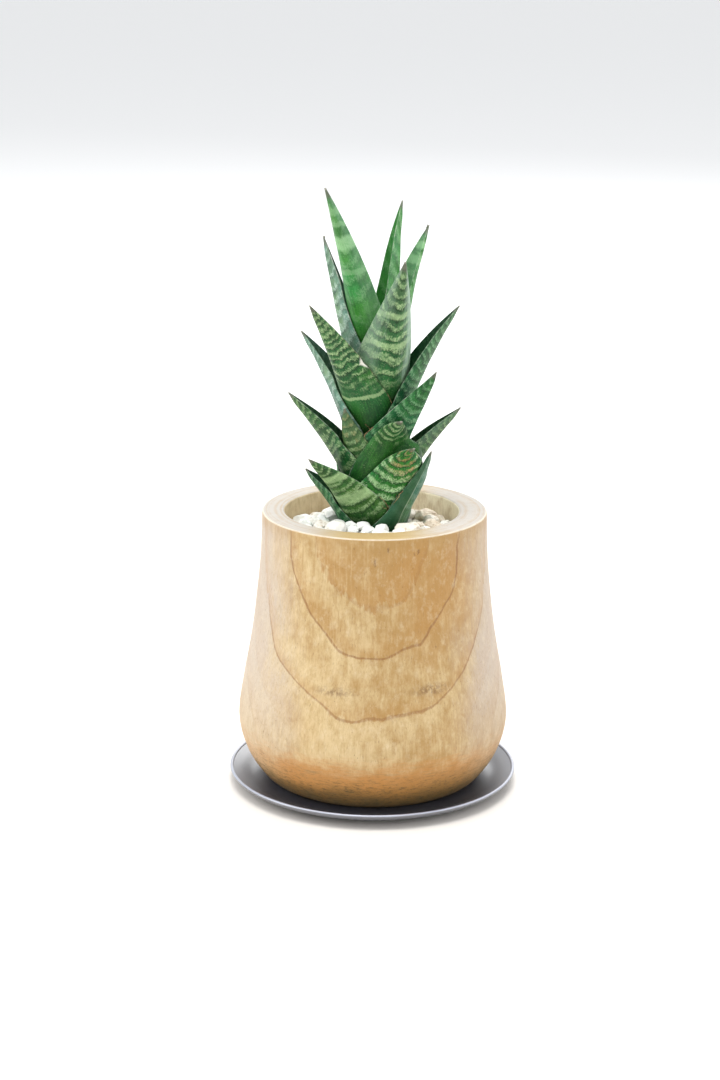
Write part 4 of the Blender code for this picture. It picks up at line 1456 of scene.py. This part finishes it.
@dataclass
class Pebbles:
    """The top dressing: the stones that show, and lower layers and chips that close the gaps between them."""

    seed: int = 7
    bed_at_wall: float = 0.1372
    bed_slope: float = 0.28
    bed_tilt: float = 0.10
    bed_sides: int = 40
    opening_radius: float = 0.0457
    opening_offset: float = -0.0015
    soil_top: float = 0.1275
    pot_height: float = 0.1497
    stem_radius: float = 0.0095
    rest_gap: float = 0.0003
    least: float = 0.0036
    most: float = 0.0062
    squash: tuple[tuple[float, float], ...] = ((0.92, 1.18), (0.85, 1.05), (0.66, 0.86))
    unevenness: tuple[float, float] = (0.93, 1.05)
    rise: float = 0.30
    spacing: float = 0.80
    tries: int = 12000
    lower_drop: float = 0.0042
    lower_tries: int = 6000
    chips: tuple[float, float] = (0.0017, 0.0027)
    chip_gap: float = 0.0001
    flats: int = 14
    flat_depths: tuple[float, float] = (0.56, 0.74)
    sharpness: int = 70
    fullness: float = 1.25
    bulge: float = 1.06
    crumbs: float = 0.05
    crumb_scale: float = 2.6
    crease: float = 15.0
    finish: TumbledStone = field(default_factory=TumbledStone)

    def bed_top(self, x: float, y: float) -> float:
        """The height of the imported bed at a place."""
        from_wall = self.opening_radius - math.hypot(x, y)
        return self.bed_at_wall + self.bed_slope * from_wall - self.bed_tilt * y

    def hole_radii(self, plant: BVHTree) -> list[float]:
        """How far from the axis the bed begins at each of its sides, just clear of the plant's foot."""
        reaches = []
        for k in range(self.bed_sides):
            angle = 2 * math.pi * k / self.bed_sides
            widest = self.stem_radius
            for height in np.linspace(self.soil_top, self.pot_height, 24):
                for turn in np.linspace(-math.pi, math.pi, 7) / self.bed_sides:
                    x, y = math.cos(angle + turn), math.sin(angle + turn)
                    reach = reach_at(plant, x, y, height)
                    if height <= self.bed_top(reach * x, reach * y) + self.rest_gap:
                        widest = max(widest, reach)
            reaches.append(widest)
        following = [*reaches[1:], reaches[0]]
        before = [reaches[-1], *reaches[:-1]]
        return [max(trio) + 2 * self.rest_gap for trio in zip(before, reaches, following)]

    def places(self, plant: BVHTree, tries: int, seed: int, drop: float) -> list[tuple[Vector, float]]:
        """Seeded places and sizes of one layer of stones.

        Args:
            plant: The leaves, which the stones keep clear of.
            tries: How many places are tried.
            seed: The layer's seed.
            drop: How far the layer lies under the top one.

        Returns:
            Each stone's centre and size.
        """
        rng = random.Random(seed)
        holes = self.hole_radii(plant)
        reach = self.squash[0][1] * self.unevenness[1]
        placed = []
        for attempt in range(tries):
            largest = self.most - (self.most - self.least) * attempt / tries
            size = rng.uniform(self.least, largest)
            angle = rng.uniform(0, 2 * math.pi)
            distance = math.sqrt(rng.random()) * self.opening_radius
            x, y = distance * math.cos(angle), distance * math.sin(angle)
            place = Vector((x, y, self.bed_top(x, y) + self.rise * size))
            clear = size * reach + self.rest_gap
            if distance < holes[round(angle / (2 * math.pi) * self.bed_sides) % self.bed_sides]:
                continue
            if self.opening_radius - (place.xy - Vector((self.opening_offset, 0.0))).length < clear:
                continue
            if plant.find_nearest(place)[3] < clear:
                continue
            if any((place - other).length < self.spacing * (size + radius) for other, radius in placed):
                continue
            placed.append((place, size))
        return [(place - Vector((0.0, 0.0, drop)), size) for place, size in placed]

    def shaped(
        self, rng: random.Random, ball: np.ndarray, corners: np.ndarray, place: Vector, size: float
    ) -> tuple[np.ndarray, float]:
        """One stone: a squashed, uneven, slightly chipped ball.

        Args:
            rng: The layer's own draw.
            ball: Directions of the stone's points.
            corners: The twelve directions that its unevenness is drawn for.
            place: Its centre.
            size: Its radius.

        Returns:
            Its points and how warm its colour is.
        """
        squash = np.array([rng.uniform(*limits) for limits in self.squash])
        turn = rng.uniform(0, 2 * math.pi)
        lumps = np.array([rng.uniform(*self.unevenness) for _ in corners])
        pull = np.maximum(ball @ corners.T, 0) ** 6
        swell = (pull @ lumps) / pull.sum(axis=1)
        detail = random.Random(round(place.x * 1e7) ^ round(place.y * 1e7))
        flats = np.array([[detail.gauss(0, 1) for _ in range(3)] for _ in range(self.flats)])
        flats /= np.linalg.norm(flats, axis=1, keepdims=True)
        limits = np.array([detail.uniform(*self.flat_depths) for _ in flats])
        cuts = (np.maximum(ball @ flats.T, 1e-3) / limits) ** self.sharpness
        chipped = np.minimum(self.fullness * (1 + cuts.sum(axis=1)) ** (-1 / self.sharpness), self.bulge)
        shift = Vector((detail.uniform(0, 50), detail.uniform(0, 50), 0.0))
        rough = np.array([noise.noise(Vector(d) * self.crumb_scale + shift) for d in ball]) * self.crumbs
        points = ball * squash * (swell * (chipped + rough))[:, None] * size
        x = points[:, 0] * math.cos(turn) - points[:, 1] * math.sin(turn)
        y = points[:, 0] * math.sin(turn) + points[:, 1] * math.cos(turn)
        warm = detail.uniform(0.0, 0.55) + 0.45 * float(ease((place.x - 0.004) / 0.02))
        return np.stack([place.x + x, place.y + y, place.z + points[:, 2]], axis=1), warm

    def ball(self, subdivisions: int) -> bpy.types.Object:
        """A ball of radius 1 to shape stones from."""
        Workbench.clear_selection()
        bpy.ops.mesh.primitive_ico_sphere_add(subdivisions=subdivisions, radius=1.0)
        return bpy.context.active_object

    def layer(
        self, places: list[tuple[Vector, float]], subdivisions: int, seed: int
    ) -> list[bpy.types.Object]:
        """One layer of stones, each a copy of one ball with its own shape."""
        rng = random.Random(seed)
        coarse = self.ball(1)
        corners = Workbench.points(coarse.data)
        bpy.data.objects.remove(coarse)
        start = self.ball(subdivisions)
        ball = Workbench.points(start.data)
        stones = []
        for place, size in places:
            stone = start.copy()
            stone.data = start.data.copy()
            bpy.context.collection.objects.link(stone)
            points, warm = self.shaped(rng, ball, corners, place, size)
            Workbench.set_points(stone.data, points)
            Workbench.mark(stone.data, "warm", np.full(len(points), warm))
            stones.append(stone)
        bpy.data.objects.remove(start)
        return stones

    def build(self, leaves: Sequence[bpy.types.Object]) -> bpy.types.Object:
        """Lays and dresses the stones.

        Args:
            leaves: The leaves' solids, which the stones keep clear of.

        Returns:
            The stones as one piece.
        """
        plant = tree_over(leaves)
        top = self.places(plant, self.tries, self.seed, 0.0)
        low = self.places(plant, self.lower_tries, self.seed + 1, self.lower_drop)
        lowest = self.places(plant, self.lower_tries, self.seed + 2, 2 * self.lower_drop)
        small = replace(self, least=self.chips[0], most=self.chips[1], rest_gap=self.chip_gap)
        chips = small.places(plant, 2 * self.lower_tries, self.seed + 3, self.lower_drop)
        LOG.info("%d stones on top, %d and %d below, %d chips", len(top), len(low), len(lowest), len(chips))
        stones = self.layer(top, 4, self.seed)
        stones += self.layer(low, 3, self.seed + 1)
        stones += self.layer(lowest, 2, self.seed + 2)
        stones += self.layer(chips, 2, self.seed + 3)
        Workbench.take(*stones)
        bpy.ops.object.join()
        piece = Workbench.made("stones_tumbled")
        Workbench.smooth(piece, self.crease)
        Workbench.hand_over(piece, self.finish.material(), "stones", "stone_white")
        return piece


@dataclass
class Studio:
    """A plain pale floor, soft light from all round, and the camera."""

    eye: tuple[float, float, float] = (-0.007543, -1.216956, 0.480215)
    pitch: float = 15.9404
    roll: float = 0.41337
    lens: float = 80.0
    sensor: float = 36.0
    far_end: float = 100.0
    aim: tuple[float, float, float] = (0.0, 0.0, 0.15)
    floor_radius: float = 14.0
    floor_near: Colour = (0.84, 0.80, 0.75)
    floor_far: Colour = (0.93, 0.93, 0.93)
    sky: Colour = (0.97, 0.985, 1.0)
    sky_strength: float = 0.88

    def camera(self) -> None:
        """Places the camera at the portrait's view."""
        data = bpy.data.cameras.new("portrait")
        data.lens = self.lens
        data.sensor_width = self.sensor
        data.clip_end = self.far_end
        camera = bpy.data.objects.new("portrait", data)
        bpy.context.collection.objects.link(camera)
        tilt = Matrix.Rotation(math.radians(90 - self.pitch), 4, "X")
        turn = tilt @ Matrix.Rotation(math.radians(self.roll), 4, "Z")
        camera.matrix_world = Matrix.Translation(self.eye) @ turn
        bpy.context.scene.camera = camera

    def floor(self) -> None:
        """A wide floor, a little warmer near the plant."""
        Workbench.clear_selection()
        bpy.ops.mesh.primitive_circle_add(vertices=96, radius=self.floor_radius, fill_type="NGON")
        piece = Workbench.made("floor")
        graph = Graph("floor_pale")
        x, y, _ = graph.spot
        away = (x * x + y * y).math("SQRT")
        colour = graph.blend(self.floor_near, self.floor_far, graph.smooth(away, 100.0, 1300.0))
        piece.data.materials.append(graph.finish(Base_Color=colour, Roughness=0.65))

    def softbox(self, name: str, place: Sequence[float], size: float, power: float, colour: Colour) -> None:
        """One large soft light that looks at the plant.

        Args:
            name: Its name.
            place: Where it stands.
            size: Its side.
            power: Its power in watts.
            colour: Its colour.
        """
        data = bpy.data.lights.new(name, "AREA")
        data.shape = "SQUARE"
        data.size = size
        data.energy = power
        data.color = colour
        light = bpy.data.objects.new(name, data)
        light.location = place
        aim = Vector(self.aim) - Vector(place)
        light.rotation_euler = aim.to_track_quat("-Z", "Y").to_euler()
        bpy.context.collection.objects.link(light)

    def light(self) -> None:
        """Bright sky all round, stronger from the left and from behind."""
        world = bpy.data.worlds.new("daylight")
        world.use_nodes = True
        sky = world.node_tree.nodes["Background"]
        sky.inputs["Color"].default_value = (*self.sky, 1.0)
        sky.inputs["Strength"].default_value = self.sky_strength
        bpy.context.scene.world = world
        self.softbox("window_left", (-1.5, -0.2, 1.2), 1.4, 12.0, (1.0, 0.99, 0.97))
        self.softbox("window_behind", (0.5, 1.5, 1.5), 1.6, 20.0, (1.0, 1.0, 1.0))
        self.softbox("ceiling", (-0.1, -0.1, 2.0), 1.2, 24.0, (1.0, 1.0, 1.0))
        self.softbox("fill_right", (1.7, -0.3, 0.8), 1.4, 5.0, (0.98, 0.99, 1.0))
        self.softbox("fill_front", (-0.5, -2.0, 1.4), 1.2, 3.0, (1.0, 0.98, 0.96))
        bpy.context.scene.view_settings.view_transform = "Standard"

    def build(self) -> None:
        """Sets the whole studio up."""
        self.camera()
        self.floor()
        self.light()


LEAVES = (
    LeafForm("leaf_01", 101, 0.222, 0.0128, 0.3115, 0.0180, 8,
             LeafLook(Tone.FRESH, bands=8, contrast=0.75, plain=0.20, ragged=0.9, flank_sheen=(0.10, 0.0),
                      aged=0.0, inner=((0.020, 0.180, 0.022), 0.60))),
    LeafForm("leaf_02", -40, 0.218, 0.0400, 0.3220, 0.0155, 24,
             LeafLook(Tone.FRESH, bands=11, contrast=0.42, plain=0.30, ragged=0.60, aged=0.30,
                      flank_sheen=(0.25, 0.15),
                      zones=((0.883, 0.020, 0.50), (0.815, 0.014, 0.45), (0.777, 0.026, -0.50),
                             (0.720, 0.034, 0.80), (0.575, 0.014, 0.40)))),
    LeafForm("leaf_03", 176, 0.212, 0.0260, 0.2625, 0.0150, 24,
             LeafLook(Tone.FRESH, bands=8, contrast=0.60, plain=0.35)),
    LeafForm("leaf_04", 122, 0.206, 0.0315, 0.2970, 0.0180, 22,
             LeafLook(Tone.FRESH, bands=12, contrast=0.70, plain=0.15, ragged=0.8, aged=0.25,
                      zones=((0.955, 0.030, -0.7), (0.885, 0.020, 0.8), (0.855, 0.006, -0.8),
                             (0.80, 0.030, 0.7)),
                      inner=((0.22, 0.40, 0.25), 0.35))),
    LeafForm("leaf_05", -92, 0.200, 0.0271, 0.2933, 0.0185, 12,
             LeafLook(Tone.SILVER, bands=12, contrast=1.0, plain=0.15, ragged=0.9, flank_sheen=(0.10, 0.20),
                      right=Margin.WHITE)),
    LeafForm("leaf_06", 22, 0.192, 0.0370, 0.2862, 0.0235, 12,
             LeafLook(Tone.MOSS, bands=14, contrast=0.95, plain=0.28, ragged=0.55, broad=0.08,
                      flank_sheen=(0.30, 0.65), aged=0.30, zones=((0.70, 0.018, 0.5), (0.53, 0.014, 0.6)))),
    LeafForm("leaf_07", -170, 0.187, 0.0400, 0.2620, 0.0190, 36,
             LeafLook(Tone.JADE, bands=15, contrast=0.70)),
    LeafForm("leaf_08", -48, 0.182, 0.0450, 0.2632, 0.0230, 30,
             LeafLook(Tone.MOSS, bands=20, contrast=1.0, plain=0.42, ragged=0.9, broad=0.04,
                      zones=((0.36, 0.012, 0.65),), left=Margin.WHITE, right=Margin.PINK, torn=0.56,
                      aged=0.15)),
    LeafForm("leaf_09", 97, 0.178, 0.0430, 0.2573, 0.0210, 34,
             LeafLook(Tone.JADE, bands=17, contrast=0.80, plain=0.22, ragged=0.8, aged=0.5)),
    LeafForm("leaf_10", -106, 0.172, 0.0402, 0.2424, 0.0205, 34,
             LeafLook(Tone.SILVER, bands=14, contrast=0.75, plain=0.20, ragged=0.8, flank_sheen=(0.1, 0.15))),
    LeafForm("leaf_11", 148, 0.168, 0.0400, 0.2270, 0.0190, 38,
             LeafLook(Tone.JADE, bands=14, contrast=0.70)),
    LeafForm("leaf_12", 50, 0.166, 0.0395, 0.2287, 0.0230, 24,
             LeafLook(Tone.JADE, bands=12, contrast=0.75, plain=0.22, ragged=0.70, aged=0.0)),
    LeafForm("leaf_13", -45, 0.158, 0.0222, 0.2074, 0.0190, 0,
             LeafLook(Tone.OLIVE, bands=10, contrast=0.55, plain=0.35, bronze=0.7, aged=0.4)),
    LeafForm("leaf_14", 178, 0.155, 0.0420, 0.2080, 0.0190, 42,
             LeafLook(Tone.MOSS, bands=13, contrast=0.70)),
    LeafForm("leaf_15", -88, 0.153, 0.0450, 0.2125, 0.0210, 38,
             LeafLook(Tone.MOSS, bands=14, contrast=0.75, plain=0.18, ragged=0.9, aged=0.2)),
    LeafForm("leaf_16", 86, 0.150, 0.0440, 0.2054, 0.0205, 40,
             LeafLook(Tone.MOSS, bands=14, contrast=0.75, plain=0.20, ragged=0.9, aged=0.3,
                      flank_sheen=(0.1, 0.0))),
    LeafForm("leaf_17", 22, 0.147, 0.0345, 0.2045, 0.0180, 64,
             LeafLook(Tone.MOSS, bands=13, contrast=1.0, plain=0.70, ragged=0.45, broad=0.12, aged=0.0),
             taper=1.8, keel=0.1),
    LeafForm("leaf_18", -140, 0.143, 0.0400, 0.1880, 0.0190, 44,
             LeafLook(Tone.JADE, bands=12, contrast=0.70)),
    LeafForm("leaf_19", 34, 0.140, 0.0352, 0.1898, 0.0215, 58,
             LeafLook(Tone.LIME, bands=10, contrast=1.0, plain=0.15, ragged=0.55, broad=0.04, aged=0.0,
                      right=Margin.WHITE, bronze=1.0, wide_margin=0.06), taper=1.5, keel=0.3),
    LeafForm("leaf_20", -54, 0.136, 0.0420, 0.1826, 0.0230, 42,
             LeafLook(Tone.OLIVE, bands=12, contrast=0.70, plain=0.20, ragged=0.45, aged=0.1,
                      zones=((0.72, 0.040, 0.55), (0.47, 0.050, 0.60)), left=Margin.WHITE),
             taper=1.7, keel=0.3),
    LeafForm("leaf_21", 160, 0.134, 0.0380, 0.1800, 0.0150, 40,
             LeafLook(Tone.MOSS, bands=10, contrast=0.60)),
    LeafForm("leaf_22", 60, 0.131, 0.0330, 0.1852, 0.0150, 16,
             LeafLook(Tone.SILVER, bands=8, contrast=0.30, plain=0.30, flank_sheen=(0.0, 0.55), aged=0.6,
                      split=((0.010, 0.080, 0.028), -0.42))),
    LeafForm("leaf_23", -106, 0.129, 0.0378, 0.1688, 0.0190, 38,
             LeafLook(Tone.JADE, bands=11, contrast=0.75, plain=0.15, ragged=0.8)),
)


FIBRES = (
    Fibre("leaf_20", (0.12, 0.99), (0.38, 0.99), 0.00030),
    Fibre("leaf_20", (0.20, 0.97), (0.30, 0.90)),
    Fibre("leaf_08", (0.16, 0.99), (0.34, 0.99), 0.00024),
    Fibre("leaf_08", (0.20, 0.30), (0.12, 0.55), 0.00018, 0.0010),
    Fibre("leaf_12", (0.42, -0.99), (0.30, -0.97), 0.00024, 0.0014),
    Fibre("leaf_19", (0.40, 0.10), (0.33, -0.10), 0.00022, 0.0010),
    Fibre("leaf_19", (0.42, 0.02), (0.30, -0.02), 0.00018, 0.0012),
    Fibre("leaf_22", (0.58, -0.99), (0.42, -0.95), 0.00024, 0.0010),
)


def main() -> None:
    """Builds every sub-assembly in order."""
    logging.basicConfig(level=logging.INFO, format="%(name)s: %(message)s")
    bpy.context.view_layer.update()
    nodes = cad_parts
    Studio().build()
    Saucer().build()
    Pot().build()
    for name, finish in (("soil", CrumblySoil()), ("stem", StemSkin())):
        nodes[name].material_slots[0].material = finish.material()
        LOG.info("%s keeps its own shape", name)
    plant = Plant(LEAVES)
    plant.build(nodes["stem"])
    DryFibres(FIBRES).build(plant.faces)
    Pebbles().build([nodes[leaf.name] for leaf in LEAVES])


if __name__ == "__main__":
    main()
